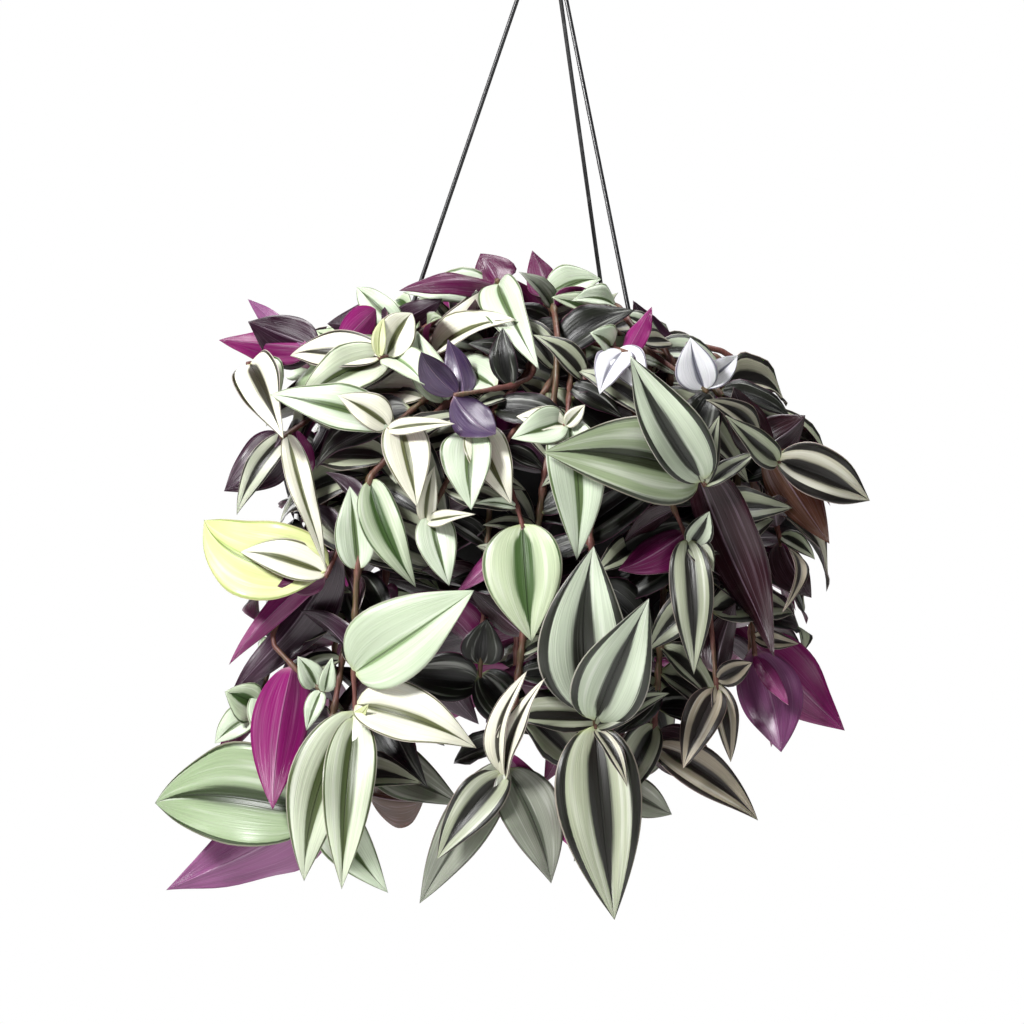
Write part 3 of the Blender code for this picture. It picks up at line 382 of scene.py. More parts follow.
def stem_skin():
    made = Finish("stem_skin", Subsurface_Weight=0.12, Subsurface_Radius=(1.0, 0.5, 0.3),
                  Subsurface_Scale=0.0015)
    place = made.place()
    patches = made.speckle(made.stretched(place, (1, 1, 0.5)), 60.0)
    lines = made.speckle(made.stretched(place, (1, 1, 0.12)), 900.0)
    dots = made.speckle(place, 1500.0)
    colour = made.mix(made.step(patches, 0.40, 0.62), seen(104, 62, 56), seen(92, 78, 52))
    colour = made.mix(made.step(lines, 0.45, 0.75, 0.0, 0.6), colour, seen(146, 100, 92))
    colour = made.mix(made.step(dots, 0.60, 0.75, 0.0, 0.5), colour, seen(96, 40, 52))
    made.bump(lines, 0.0003, 0.6)
    return made.finish(colour, made.step(dots, 0.3, 0.7, 0.38, 0.55))


# %% [markdown]
# The pot and the hub are moulded dark plastic. It has a fine grain, a little chalky dust and faint
# turned lines, which catch the light as rings. The wires are steel in a thin dark coating.

# %% Plastic and wire


def moulded_plastic(name, shade):
    made = Finish(name, Specular_IOR_Level=0.45)
    place = made.place()
    grain = made.speckle(place, 2600.0)
    dust = made.speckle(place, 45.0, 5.0)
    rings = made.speckle(made.stretched(place, (2, 2, 700)), 1.0)
    colour = made.mix(made.step(dust, 0.48, 0.75, 0.0, 0.35), shade, seen(112, 106, 98))
    colour = made.mix(made.step(grain, 0.55, 0.8, 0.0, 0.25), colour, seen(14, 14, 15))
    marks = made.plus(made.times(rings, 0.5), made.times(grain, 0.5))
    made.bump(marks, 0.0002, 0.6)
    return made.finish(colour, made.step(dust, 0.3, 0.7, 0.34, 0.60))


def wire_coating():
    made = Finish("wire_coating", Coat_Weight=0.3, Coat_Roughness=0.2, Specular_IOR_Level=0.6)
    place = made.place()
    wear = made.speckle(place, 160.0, 4.0)
    runs = made.speckle(made.stretched(place, (1, 1, 0.08)), 1400.0)
    colour = made.mix(made.step(wear, 0.55, 0.75, 0.0, 0.6), seen(34, 34, 36), seen(88, 88, 90))
    made.bump(runs, 0.00015, 0.5)
    return made.finish(colour, made.step(wear, 0.3, 0.7, 0.28, 0.45))


# %% [markdown]
# Potting soil is dark, damp and crumbly, with paler bits of bark and perlite in it.

# %% Soil


def potting_soil():
    made = Finish("potting_soil", Specular_IOR_Level=0.25)
    place = made.place()
    lumps = made.speckle(place, 220.0, 6.0)
    bits = made.tree.nodes.new("ShaderNodeTexVoronoi")
    made.put(bits.inputs["Vector"], place)
    made.put(bits.inputs["Scale"], 420.0)
    colour = made.mix(made.step(lumps, 0.38, 0.68), seen(28, 19, 13), seen(74, 52, 36))
    pale = made.step(made.node("ShaderNodeSeparateXYZ", "X", Vector=bits.outputs["Color"]), 0.90, 0.93)
    near = made.step(bits.outputs["Distance"], 0.42, 0.25)
    colour = made.mix(made.times(pale, near), colour, seen(176, 160, 138))
    crumbs = made.plus(lumps, made.times(bits.outputs["Distance"], 0.5))
    made.bump(crumbs, 0.0015, 0.9)
    return made.finish(colour, made.step(lumps, 0.3, 0.7, 0.75, 0.95))


upper_side = leaf_upper()
underside = leaf_underside()
stem_finish = stem_skin()
pot_plastic = moulded_plastic("pot_plastic", seen(34, 34, 37))
hub_plastic = moulded_plastic("hub_plastic", seen(30, 30, 32))
wire_finish = wire_coating()
soil_finish = potting_soil()
print("finishes:", len(bpy.data.materials))

# %% [markdown]
# Places are given by a radius and a bearing, or from the middle of the rim. A finished mesh is kept
# as an object that rides on the basket, and the solids that it is made in place of are hidden.

# %% Helpers to place and keep pieces


def polar(radius, bearing, z):
    """A point at a radius and a bearing in degrees."""
    turn = math.radians(bearing)
    return Vector((radius * math.cos(turn), radius * math.sin(turn), z))


def rim_frame(point):
    """A place given from the middle of the rim, in the object's frame."""
    return Vector(point) + Vector((0, 0, RIM_Z))


def keep(name, mesh, slot, *nodes):
    """Makes the mesh an object that rides on the basket, and hides the solids of the nodes named."""
    piece = linked(name, mesh)
    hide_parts(*nodes)
    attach(piece, "root")
    return piece


def mesh_of(bm, name, *finishes):
    mesh = bpy.data.meshes.new(name)
    bm.to_mesh(mesh)
    bm.free()
    for finish in finishes:
        mesh.materials.append(finish)
    mesh.shade_smooth()
    return mesh


def linked(name, mesh):
    """The mesh as an object of the scene."""
    made = bpy.data.objects.new(name, mesh)
    bpy.context.scene.collection.objects.link(made)
    return made


# %% [markdown]
# Pieces that are turned on a lathe or drawn as wire share two helpers. A turned piece is a half
# outline spun about Z, and a wire is a curve with round section, made a mesh.

# %% Helpers for turned and drawn pieces


def spun(profile, steps):
    """A closed body turned about Z from a closed half outline of radius and height."""
    bm = bmesh.new()
    corners = [bm.verts.new((radius, 0, z)) for radius, z in profile]
    edges = [bm.edges.new(pair) for pair in zip(corners, corners[1:] + corners[:1])]
    bmesh.ops.spin(bm, geom=corners + edges, cent=(0, 0, 0), axis=(0, 0, 1), angle=2 * math.pi,
                   steps=steps, use_merge=True)
    bmesh.ops.remove_doubles(bm, verts=bm.verts, dist=1e-6)
    bmesh.ops.dissolve_degenerate(bm, edges=bm.edges, dist=1e-7)
    bmesh.ops.recalc_face_normals(bm, faces=bm.faces)
    return bm


def rounded(points, times=2):
    """The line through the points with its corners cut round, and its ends kept."""
    for _ in range(times):
        cut = [points[0]]
        for start, end in zip(points, points[1:]):
            cut += [start.lerp(end, 0.25), start.lerp(end, 0.75)]
        points = [*cut, points[-1]]
    return points


def drawn(points, radii, sides_step):
    """A round wire or stem through the points, closed at its ends, as a bmesh."""
    curve = bpy.data.curves.new("drawn", "CURVE")
    curve.dimensions = "3D"
    curve.bevel_depth = 1.0
    curve.bevel_resolution = sides_step
    curve.use_fill_caps = True
    spline = curve.splines.new("POLY")
    spline.points.add(len(points) - 1)
    for target, point, radius in zip(spline.points, points, radii):
        target.co = (*point, 1)
        target.radius = radius
    guide = bpy.data.objects.new("drawn", curve)
    mesh = bpy.data.meshes.new_from_object(guide)
    bm = bmesh.new()
    bm.from_mesh(mesh)
    bmesh.ops.remove_doubles(bm, verts=bm.verts, dist=1e-6)
    bmesh.ops.recalc_face_normals(bm, faces=bm.faces)
    bpy.data.meshes.remove(mesh)
    bpy.data.curves.remove(curve)
    return bm


# %% [markdown]
# The pot is one turned wall with a thick rim and a raised foot. Its edges are rounded by small
# steps in the outline.

# %% The pot's outline


def pot_profile():
    """The pot's half outline, outside first."""
    base = RIM_Z - POT_HEIGHT
    rim_low = RIM_Z - RIM_DEPTH
    return (
        (0.0, base + FOOT_HEIGHT),
        (BASE_RADIUS - 0.0076, base + FOOT_HEIGHT),
        (BASE_RADIUS - 0.0070, base + FOOT_HEIGHT - 0.0005),
        (BASE_RADIUS - 0.0055, base + 0.0003),
        (BASE_RADIUS - 0.0048, base),
        (BASE_RADIUS - 0.0010, base),
        (BASE_RADIUS - 0.0002, base + 0.0006),
        (BASE_RADIUS + 0.0006, base + 0.0030),
        (WALL_TOP_RADIUS - 0.0010, rim_low - 0.0060),
        (WALL_TOP_RADIUS, rim_low - 0.0006),
        (RIM_RADIUS - 0.0010, rim_low),
        (RIM_RADIUS - 0.0002, rim_low + 0.0006),
        (RIM_RADIUS, RIM_Z - 0.0016),
        (RIM_RADIUS - 0.0006, RIM_Z - 0.0004),
        (RIM_RADIUS - 0.0016, RIM_Z),
        (WALL_TOP_RADIUS - WALL + 0.0010, RIM_Z - 0.0002),
        (WALL_TOP_RADIUS - WALL + 0.0004, RIM_Z - 0.0012),
        (WALL_TOP_RADIUS - WALL, rim_low),
        (BASE_RADIUS - WALL, base + FOOT_HEIGHT + WALL),
        (0.0, base + FOOT_HEIGHT + WALL),
    )


# %% [markdown]
# The drain holes and the three holes for the wires are cut through the pot, as on a real one, with
# one Boolean that is applied.

# %% Pot
POT_STEPS = 96
ROD_LENGTH = 0.02
WIRE_ROOM = 0.0005
SHARP_POT = math.radians(40)


def add_rod(bm, radius, segments, place):
    bmesh.ops.create_cone(bm, cap_ends=True, segments=segments, radius1=radius, radius2=radius,
                          depth=ROD_LENGTH, matrix=place)


def hole_cutters():
    """Rods where the drain holes and the wires' holes are, as one object."""
    bm = bmesh.new()
    for k in range(DRAIN_HOLES):
        centre = polar(DRAIN_CIRCLE, 360 / DRAIN_HOLES * k, RIM_Z - POT_HEIGHT + FOOT_HEIGHT)
        add_rod(bm, DRAIN_RADIUS, 24, Matrix.Translation(centre))
    for bearing in ARM_BEARINGS:
        centre = rim_frame(polar(WALL_TOP_RADIUS, bearing, -ARM_EYE_DROP))
        turn = Matrix.Rotation(math.radians(bearing), 4, "Z")
        level = Matrix.Rotation(math.radians(90), 4, "Y")
        add_rod(bm, ARM_RADIUS + WIRE_ROOM, 16, Matrix.Translation(centre) @ (turn @ level))
    return linked("cutters", mesh_of(bm, "cutters"))


blank = linked("blank", mesh_of(spun(pot_profile(), POT_STEPS), "blank"))
cutters = hole_cutters()
holes = blank.modifiers.new("holes", "BOOLEAN")
holes.operation = "DIFFERENCE"
holes.object = cutters
bpy.context.view_layer.update()
pot_mesh = bpy.data.meshes.new_from_object(blank.evaluated_get(bpy.context.evaluated_depsgraph_get()))
for used in (blank, cutters):
    bpy.data.objects.remove(used)
pot_mesh.materials.clear()
pot_mesh.materials.append(pot_plastic)
pot_mesh.shade_smooth()
pot_mesh.set_sharp_from_angle(angle=SHARP_POT)
keep("pot_wall", pot_mesh, "pot_plastic", "pot")
print("pot faces:", len(pot_mesh.polygons))

# %% [markdown]
# The soil is a domed disc that fills the pot, roughened by noise, with loose crumbs pressed into
# it. Only its top is ever seen, so the crumbs lie there.

# %% Soil in the pot
CRUMBS = 420
CRUMB_SIZES = (0.0008, 0.0024)
CRUMB_SEED = 11
SOIL_RINGS = 26
SOIL_STEPS = 120
CROWN_FALL = 0.004
ROUGH_DEPTH = 0.010
LUMP_HEIGHT = 0.0022
LUMPS_IN_METRE = 240
LUMP_SINK = 0.4
GRAIN_HEIGHT = 0.0010
GRAINS_IN_METRE = 900


def soil_profile():
    top = RIM_Z - SOIL_DROP
    base = RIM_Z - POT_HEIGHT + FOOT_HEIGHT + WALL + 0.0003
    edge = WALL_TOP_RADIUS - WALL - 0.0040
    shares = [1 - k / SOIL_RINGS for k in range(SOIL_RINGS + 1)]
    crown = [(edge * share, top - CROWN_FALL * share**4) for share in shares]
    return [(0.0, base), (BASE_RADIUS - WALL - 0.0006, base), *crown]


bm = spun(soil_profile(), SOIL_STEPS)
for vert in bm.verts:
    if vert.co.z > RIM_Z - SOIL_DROP - ROUGH_DEPTH:
        vert.co.z += LUMP_HEIGHT * (noise.noise(vert.co * LUMPS_IN_METRE) - LUMP_SINK)
        vert.co.z += GRAIN_HEIGHT * noise.noise(vert.co * GRAINS_IN_METRE)
chance = random.Random(CRUMB_SEED)
for _ in range(CRUMBS):
    reach = (WALL_TOP_RADIUS - 0.008) * math.sqrt(chance.random())
    centre = polar(reach, chance.uniform(0, 360), RIM_Z - SOIL_DROP - 0.0006)
    size = chance.uniform(*CRUMB_SIZES)
    turn = Matrix.Rotation(chance.uniform(0, 6), 4, "X") @ Matrix.Rotation(chance.uniform(0, 6), 4, "Y")
    stretch = Matrix.Diagonal((size, size * chance.uniform(0.6, 1.5), size * 0.7, 1))
    place = Matrix.Translation(centre) @ turn @ stretch
    bmesh.ops.create_icosphere(bm, subdivisions=1, radius=1, matrix=place)
soil_mesh = mesh_of(bm, "soil_bed", soil_finish)
keep("soil_bed", soil_mesh, "potting_soil", "soil")
print("soil faces:", len(soil_mesh.polygons))

# %% [markdown]
# Three wires leave the hub, run straight to the rim, bend down its outside and hook in through the
# wall. The hook is a thicker wire bent to an open round.

# %% Lines of the wires


def arm_points(bearing):
    """One wire arm: from the hub, out to the rim, and hooked in through the pot's wall."""
    wall_here = WALL_TOP_RADIUS - 0.0015
    side = (
        (ARM_TOP_REACH, HUB_Z + SOCKET_DEPTH - RIM_Z),
        (ARM_REACH - 0.0006, 0.004),
        (ARM_REACH, -0.001),
        (ARM_REACH, -ARM_EYE_DROP + 0.0035),
        (ARM_REACH - 0.0012, -ARM_EYE_DROP + 0.0010),
        (ARM_REACH - 0.0035, -ARM_EYE_DROP),
        (wall_here - 0.0045, -ARM_EYE_DROP),
        (wall_here - 0.0065, -ARM_EYE_DROP + 0.0015),
        (wall_here - 0.0068, -ARM_EYE_DROP + 0.0060),
    )
    return [rim_frame(polar(reach, bearing, z)) for reach, z in side]


def hook_points():
    """The hook: a shank up out of the hub, then nearly a full round about the bearing point."""
    hub_top = HUB_Z + HUB_HEIGHT
    centre_z = -(HOOK_RADIUS - HOOK_WIRE)
    bends = [Vector((0, 0, hub_top - 0.0045)), Vector((0, 0, hub_top + 0.004))]
    bends.append(Vector((0.0015, 0, centre_z - HOOK_RADIUS - 0.003)))
    for degrees in range(-65, 226, 10):
        turn = math.radians(degrees)
        bends.append(Vector((HOOK_RADIUS * math.cos(turn), 0, centre_z + HOOK_RADIUS * math.sin(turn))))
    bends.append(Vector((-HOOK_RADIUS * 0.86, 0, centre_z - HOOK_RADIUS * 0.96)))
    return bends


# %% [markdown]
# Each line is drawn as a wire, and the hub that holds them is a small turned plug with a groove.

# %% Hanger
SHARP_HUB = math.radians(50)
HUB_STEPS = 64


def keep_wire(name, line, radius, sides_step, node):
    made = mesh_of(drawn(line, [radius] * len(line), sides_step), name, wire_finish)
    keep(name, made, "coated_wire", node)


for k, bearing in enumerate(ARM_BEARINGS, 1):
    keep_wire(f"wire_arm_{k}", rounded(arm_points(bearing)), ARM_RADIUS, 2, f"hanger_arm_{k}")
keep_wire("wire_hook", rounded(hook_points(), 1), HOOK_WIRE, 3, "hanger_hook")

hub_profile = (
    (0.0, HUB_Z),
    (HUB_RADIUS - 0.0012, HUB_Z),
    (HUB_RADIUS - 0.0003, HUB_Z + 0.0003),
    (HUB_RADIUS, HUB_Z + 0.0012),
    (HUB_RADIUS, HUB_Z + 0.0030),
    (HUB_RADIUS - 0.0005, HUB_Z + 0.0034),
    (HUB_RADIUS - 0.0005, HUB_Z + 0.0042),
    (HUB_RADIUS, HUB_Z + 0.0046),
    (HUB_RADIUS, HUB_Z + 0.0082),
    (HUB_RADIUS * 0.95, HUB_Z + 0.0094),
    (HUB_RADIUS * 0.64, HUB_Z + HUB_HEIGHT - 0.0016),
    (HUB_RADIUS * 0.58, HUB_Z + HUB_HEIGHT - 0.0004),
    (HUB_RADIUS * 0.50, HUB_Z + HUB_HEIGHT),
    (0.0, HUB_Z + HUB_HEIGHT),
)
hub_mesh = mesh_of(spun(hub_profile, HUB_STEPS), "moulded_hub", hub_plastic)
hub_mesh.set_sharp_from_angle(angle=SHARP_HUB)
keep("moulded_hub", hub_mesh, "hub_plastic", "hanger_hub")
print("hub faces:", len(hub_mesh.polygons))

# %% [markdown]
# A leaf's finish says the colour of its silver band and of its dark stripes, and how wide the lens
# along the midrib and the band inside the margin are, as shares of the half leaf. The leaves at the
# left are paler and creamier, and those at the right greyer, with dark wide margins: partly their
# own colour, and partly painted light, as the light falls from the left.

# %% Finishes of the leaves
UPPER_SIDES = {
    "mint": (seen(214, 228, 202), seen(84, 104, 62), 0.13, 0.055),
    "mint_striped": (seen(220, 230, 202), seen(72, 84, 46), 0.22, 0.08),
    "plain_mint": (seen(206, 221, 192), seen(130, 154, 108), 0.06, 0.03),
    "cream": (seen(244, 243, 222), seen(92, 96, 58), 0.13, 0.07),
    "cream_striped": (seen(244, 242, 220), seen(48, 44, 30), 0.19, 0.12),
    "lime": (seen(216, 224, 156), seen(166, 184, 104), 0.07, 0.03),
    "bud": (seen(218, 224, 168), seen(140, 150, 80), 0.08, 0.04),
    "green_centre": (seen(198, 212, 180), seen(58, 84, 38), 0.24, 0.07),
    "bright_green": (seen(196, 209, 174), seen(64, 90, 44), 0.26, 0.06),
    "sage": (seen(150, 164, 130), seen(46, 52, 34), 0.18, 0.07),
    "sage_green": (seen(152, 170, 134), seen(50, 62, 36), 0.17, 0.06),
    "striped": (seen(216, 222, 198), seen(38, 38, 30), 0.20, 0.14),
    "silver": (seen(202, 214, 190), seen(36, 38, 30), 0.21, 0.20),
    "grey_striped": (seen(176, 182, 156), seen(28, 27, 22), 0.25, 0.22),
    "dark_striped": (seen(196, 192, 170), seen(26, 22, 19), 0.27, 0.26),
    "umber_striped": (seen(172, 160, 140), seen(32, 22, 20), 0.26, 0.24),
    "grey": (seen(150, 154, 140), seen(80, 84, 72), 0.12, 0.06),
    "white": (seen(240, 241, 244), seen(120, 120, 134), 0.12, 0.08),
    # painted shade: near-black stripes for leaves that stand in the plant's own shade
    "shade": (seen(24, 27, 17), seen(6, 6, 4), 0.27, 0.22),
}
UNDERSIDES = {
    "magenta": seen(130, 22, 98),
    "purple": seen(92, 8, 66),
    "dark_purple": seen(42, 3, 32),
    "mauve": seen(136, 76, 124),
    "burgundy": seen(40, 5, 16),
    "brown": seen(76, 44, 22),
    "plum_grey": seen(72, 54, 88),
}
print("finishes of leaves:", len(UPPER_SIDES) + len(UNDERSIDES))

# %% [markdown]
# The shoots that face the front are placed one by one, as they hang on the real plant. Each has the
# place of its growing tip, any points that its stem passes, and its leaves, youngest first, with
# the same numbers as the solids have, and the finish of the side that shows. A leaf's row says how
# far back from the tip it grows, where its own tip is (across, up, and out from the front), its
# width, which way it looks (across, up, and 1 or -1 for its upper side or underside), its arch and
# its finish.

# %% Shoots at the front
FRONT_SHOOTS = {
    "crown_left": ((-0.082, 0.006, 0.0), (), (
        (0.000, -0.080, 0.026, 0.002, 0.008, 0.0, 0.2, 1, 0.05, "bud"),
        (0.002, -0.127, 0.009, 0.000, 0.022, 0.0, 0.6, 1, 0.10, "cream_striped"),
        (0.005, -0.066, 0.029, 0.000, 0.020, 0.2, 0.3, 1, 0.10, "cream"),
        (0.007, -0.122, -0.016, 0.008, 0.025, 0.0, 0.2, 1, 0.12, "mint_striped"),
        (0.010, -0.060, -0.007, 0.004, 0.022, 0.3, 0.3, 1, 0.12, "plain_mint"),
    )),
    "shoulder_left": ((-0.148, 0.004, -0.010), (), (
        (0.002, -0.1275, -0.034, 0.012, 0.026, -0.3, 0.1, 1, 0.12, "cream_striped"),
        (0.006, -0.131, -0.010, 0.000, 0.018, 0.2, 0.2, 1, 0.10, "green_centre"),
    )),
    "purple_left": ((-0.121, 0.012, -0.020), (), (
        (0.001, -0.150, 0.039, -0.012, 0.013, 0.0, 0.3, -1, 0.06, "mauve"),
        (0.004, -0.176, 0.0175, 0.010, 0.022, 0.0, 0.2, -1, 0.10, "magenta"),
        (0.009, -0.147, 0.025, -0.020, 0.028, 0.0, 0.0, -1, 0.12, "dark_purple"),
    )),
    "purple_crown_left": ((-0.080, 0.026, -0.030), (), (
        (0.002, -0.109, 0.024, -0.030, 0.022, 0.0, 0.1, -1, 0.14, "dark_purple"),
        (0.005, -0.052, 0.036, -0.030, 0.016, 0.1, 0.1, -1, 0.12, "dark_purple"),
        (0.010, -0.095, 0.043, -0.040, 0.016, 0.1, 0.1, 1, 0.12, "mint"),
    )),
    "centre_left": ((-0.078, -0.029, 0.002), (), (
        (0.000, -0.0455, -0.026, 0.006, 0.009, 0.0, 0.3, 1, 0.08, "cream"),
        (0.002, -0.102, -0.0125, 0.008, 0.018, 0.0, 0.3, 1, 0.10, "cream"),
        (0.006, -0.135, -0.0115, 0.004, 0.024, 0.0, 0.3, 1, 0.14, "mint"),
        (0.009, -0.0635, -0.066, 0.010, 0.024, 0.1, 0.0, 1, 0.10, "cream"),
    )),
    "long_left": ((-0.093, -0.168, 0.004),
                  ((-0.084, -0.048, -0.002), (-0.086, -0.075, -0.002), (-0.095, -0.116, 0.0)), (
        (0.000, -0.086, -0.160, 0.016, 0.006, 0.0, 0.2, 1, 0.08, "bud"),
        (0.001, -0.099, -0.248, 0.016, 0.028, 0.1, 0.0, 1, 0.08, "mint_striped"),
        (0.004, -0.1185, -0.2465, 0.010, 0.031, -0.15, 0.0, 1, 0.10, "mint_striped"),
        (0.007, -0.0355, -0.180, 0.010, 0.030, 0.1, 0.3, 1, 0.12, "cream"),
        (0.022, -0.035, -0.1055, 0.018, 0.040, 0.0, 0.15, 1, 0.08, "plain_mint"),
        (0.072, -0.096, -0.056, 0.002, 0.022, -0.2, 0.0, 1, 0.08, "mint"),
        (0.116, -0.064, -0.104, 0.004, 0.022, 0.1, 0.0, 1, 0.08, "green_centre"),
    )),
    "centre_small": ((-0.0595, -0.0745, -0.002), (), (
        (0.000, -0.055, -0.046, 0.002, 0.011, 0.0, 0.0, 1, 0.08, "cream"),
        (0.002, -0.0365, -0.069, 0.006, 0.009, 0.0, 0.3, 1, 0.10, "cream"),
        (0.006, -0.048, -0.104, 0.006, 0.020, 0.1, 0.0, 1, 0.10, "mint"),
    )),
    "centre_mint": ((-0.040, -0.031, -0.006), (), (
        (0.002, -0.0375, -0.0675, 0.012, 0.027, -0.1, 0.1, 1, 0.12, "mint"),
        (0.006, -0.018, -0.064, 0.000, 0.022, 0.2, 0.1, 1, 0.10, "cream"),
    )),
    "centre_long": ((-0.0125, -0.076, -0.002), ((-0.022, -0.037, -0.006),), (
        (0.000, -0.045, -0.1075, 0.002, 0.013, -0.3, 0.0, -1, 0.06, "magenta"),
        (0.002, -0.009, -0.1305, 0.006, 0.040, -0.2, 0.1, 1, 0.08, "bright_green"),
        (0.010, -0.036, -0.064, 0.004, 0.006, 0.0, 0.3, 1, 0.10, "mint"),
    )),
    "plum_centre": ((-0.046, -0.0125, 0.0), (), (
        (0.000, -0.0255, -0.0315, 0.012, 0.022, 0.1, 0.2, -1, 0.12, "plum_grey"),
        (0.002, -0.062, 0.0085, 0.006, 0.017, -0.2, 0.3, -1, 0.10, "plum_grey"),
        (0.005, -0.049, 0.015, -0.004, 0.017, 0.2, 0.2, -1, 0.10, "plum_grey"),
    )),
    "centre_star": ((0.0075, -0.0275, 0.004), (), (
        (0.000, 0.017, -0.017, 0.006, 0.009, 0.2, 0.2, 1, 0.20, "cream"),
        (0.001, -0.016, -0.0225, 0.006, 0.014, 0.0, 0.3, 1, 0.10, "cream"),
        (0.004, -0.018, -0.033, 0.010, 0.020, -0.1, 0.1, 1, 0.12, "mint"),
        (0.007, 0.013, -0.091, 0.010, 0.030, 0.0, 0.1, 1, 0.10, "mint"),
    )),
    "right_star": ((0.075, -0.056, 0.004), (), (
        (0.000, 0.100, -0.040, 0.008, 0.010, 0.0, 0.3, 1, 0.10, "grey_striped"),
        (0.001, 0.082, -0.022, 0.006, 0.012, 0.2, 0.1, 1, 0.08, "grey_striped"),
        (0.003, 0.038, 0.0065, 0.012, 0.032, 0.1, 0.1, 1, 0.10, "silver"),
        (0.006, -0.003, -0.040, 0.018, 0.042, -0.1, 0.1, 1, 0.08, "sage"),
        (0.010, 0.1105, -0.1375, 0.010, 0.032, -0.55, 0.0, -1, 0.06, "burgundy"),
    )),
    "right_crown": ((0.112, -0.045, -0.010), (), (
        (0.001, 0.0845, -0.022, 0.012, 0.016, 0.0, 0.3, 1, 0.08, "grey_striped"),
        (0.003, 0.157, -0.063, 0.008, 0.030, 0.2, 0.4, 1, 0.10, "dark_striped"),
        (0.006, 0.0895, -0.008, -0.006, 0.024, 0.2, 0.4, -1, 0.12, "burgundy"),
        (0.009, 0.1365, -0.084, 0.002, 0.024, 0.2, -0.3, -1, 0.10, "brown"),
        (0.012, 0.126, -0.021, -0.014, 0.024, 0.5, 0.2, -1, 0.15, "burgundy"),
        (0.016, 0.075, -0.0145, 0.002, 0.016, 0.0, 0.5, 1, 0.10, "dark_striped"),
    )),
    "white_right": ((0.077, -0.0105, -0.012), (), (
        (0.002, 0.0685, 0.016, -0.004, 0.021, 0.0, 0.2, 1, 0.08, "white"),
        (0.006, 0.092, 0.008, -0.010, 0.014, 0.3, 0.2, 1, 0.10, "white"),
    )),
    "top_right": ((0.0385, 0.0085, -0.006), (), (
        (0.001, 0.050, 0.031, -0.008, 0.012, -0.4, 0.0, -1, 0.05, "magenta"),
        (0.004, 0.024, -0.012, 0.006, 0.018, -0.2, 0.2, 1, 0.10, "white"),
        (0.008, 0.046, -0.012, 0.002, 0.020, 0.1, 0.2, 1, 0.12, "white"),
        (0.012, 0.020, 0.018, 0.000, 0.018, 0.0, 0.4, 1, 0.12, "mint"),
    )),
    "top_centre": ((-0.001, 0.0375, -0.045), (), (
        (0.000, -0.0080, 0.061, -0.048, 0.018, 0.3, 0.3, -1, 0.08, "purple"),
        (0.002, 0.026, 0.046, -0.040, 0.020, 0.2, 0.6, 1, 0.12, "mint"),
        (0.004, 0.046, 0.024, -0.030, 0.027, 0.1, 0.4, 1, 0.12, "mint"),
        (0.008, 0.0165, -0.021, -0.006, 0.024, 0.3, 0.2, 1, 0.12, "mint"),
        (0.012, 0.029, 0.0375, -0.060, 0.018, 0.2, 0.3, -1, 0.10, "burgundy"),
    )),
    "top_purple": ((-0.0255, 0.046, -0.045), (), (
        (0.001, -0.034, 0.060, -0.046, 0.026, -0.1, 0.2, -1, 0.16, "purple"),
        (0.003, -0.0055, 0.001, -0.012, 0.024, -0.2, 0.2, 1, 0.12, "mint"),
        (0.006, -0.0735, 0.0400, -0.032, 0.017, 0.0, 0.9, -1, -0.17, "purple"),
        (0.010, -0.028, 0.003, -0.030, 0.012, 0.2, 0.0, -1, 0.08, "dark_purple"),
        (0.014, -0.0565, 0.022, -0.030, 0.020, 0.0, 0.5, 1, 0.10, "cream_striped"),
    )),
    "plum_left": ((-0.130, -0.0325, -0.008), (), (
        (0.002, -0.158, -0.0585, 0.006, 0.028, -0.3, 0.1, -1, 0.10, "dark_purple"),
        (0.005, -0.107, -0.0945, 0.008, 0.014, 0.3, 0.0, 1, 0.08, "cream"),
        (0.008, -0.152, -0.070, -0.004, 0.014, -0.2, 0.0, 1, 0.14, "striped"),
        (0.012, -0.118, -0.056, 0.000, 0.014, 0.0, 0.3, -1, 0.10, "magenta"),
    )),
    "lime_left": ((-0.108, -0.100, 0.002), (), (
        (0.000, -0.131, -0.104, 0.020, 0.016, 0.2, 0.3, -1, 0.08, "purple"),
        (0.002, -0.150, -0.087, 0.016, 0.020, 0.0, 0.3, 1, 0.10, "cream"),
        (0.005, -0.170, -0.071, 0.006, 0.042, -0.1, 0.2, 1, 0.08, "lime"),
        (0.008, -0.1555, -0.1425, 0.016, 0.014, 0.0, 0.4, -1, 0.05, "magenta"),
        (0.014, -0.159, -0.159, 0.000, 0.026, -0.3, 0.0, -1, 0.10, "dark_purple"),
    )),
    "magenta_left": ((-0.1085, -0.1555, 0.0), ((-0.133, -0.122, -0.006), (-0.128, -0.140, -0.002)), (
        (0.000, -0.1045, -0.138, 0.008, 0.009, 0.2, 0.0, 1, 0.10, "mint"),
        (0.002, -0.117, -0.174, 0.008, 0.010, -0.2, 0.0, 1, 0.14, "mint"),
        (0.005, -0.1215, -0.138, 0.008, 0.014, 0.0, 0.2, 1, 0.10, "mint"),
        (0.022, -0.1335, -0.212, 0.014, 0.030, -0.1, 0.0, -1, 0.08, "magenta"),
    )),
    "low_left": ((-0.113, -0.2185, -0.012), (), (
        (0.003, -0.196, -0.211, 0.016, 0.052, -0.1, 0.2, 1, 0.10, "sage_green"),
        (0.007, -0.187, -0.2525, -0.002, 0.042, 0.0, -0.3, -1, 0.10, "mauve"),
        (0.012, -0.078, -0.252, -0.010, 0.026, 0.1, 0.0, 1, 0.10, "mint"),
    )),
    "edge_left": ((-0.143, -0.1685, -0.016), (), (
        (0.002, -0.1635, -0.1815, 0.004, 0.016, 0.0, 0.3, 1, 0.12, "mint"),
        (0.005, -0.158, -0.156, 0.000, 0.022, -0.2, 0.1, 1, 0.10, "green_centre"),
        (0.008, -0.163, -0.192, -0.010, 0.012, 0.0, 0.2, -1, 0.08, "purple"),
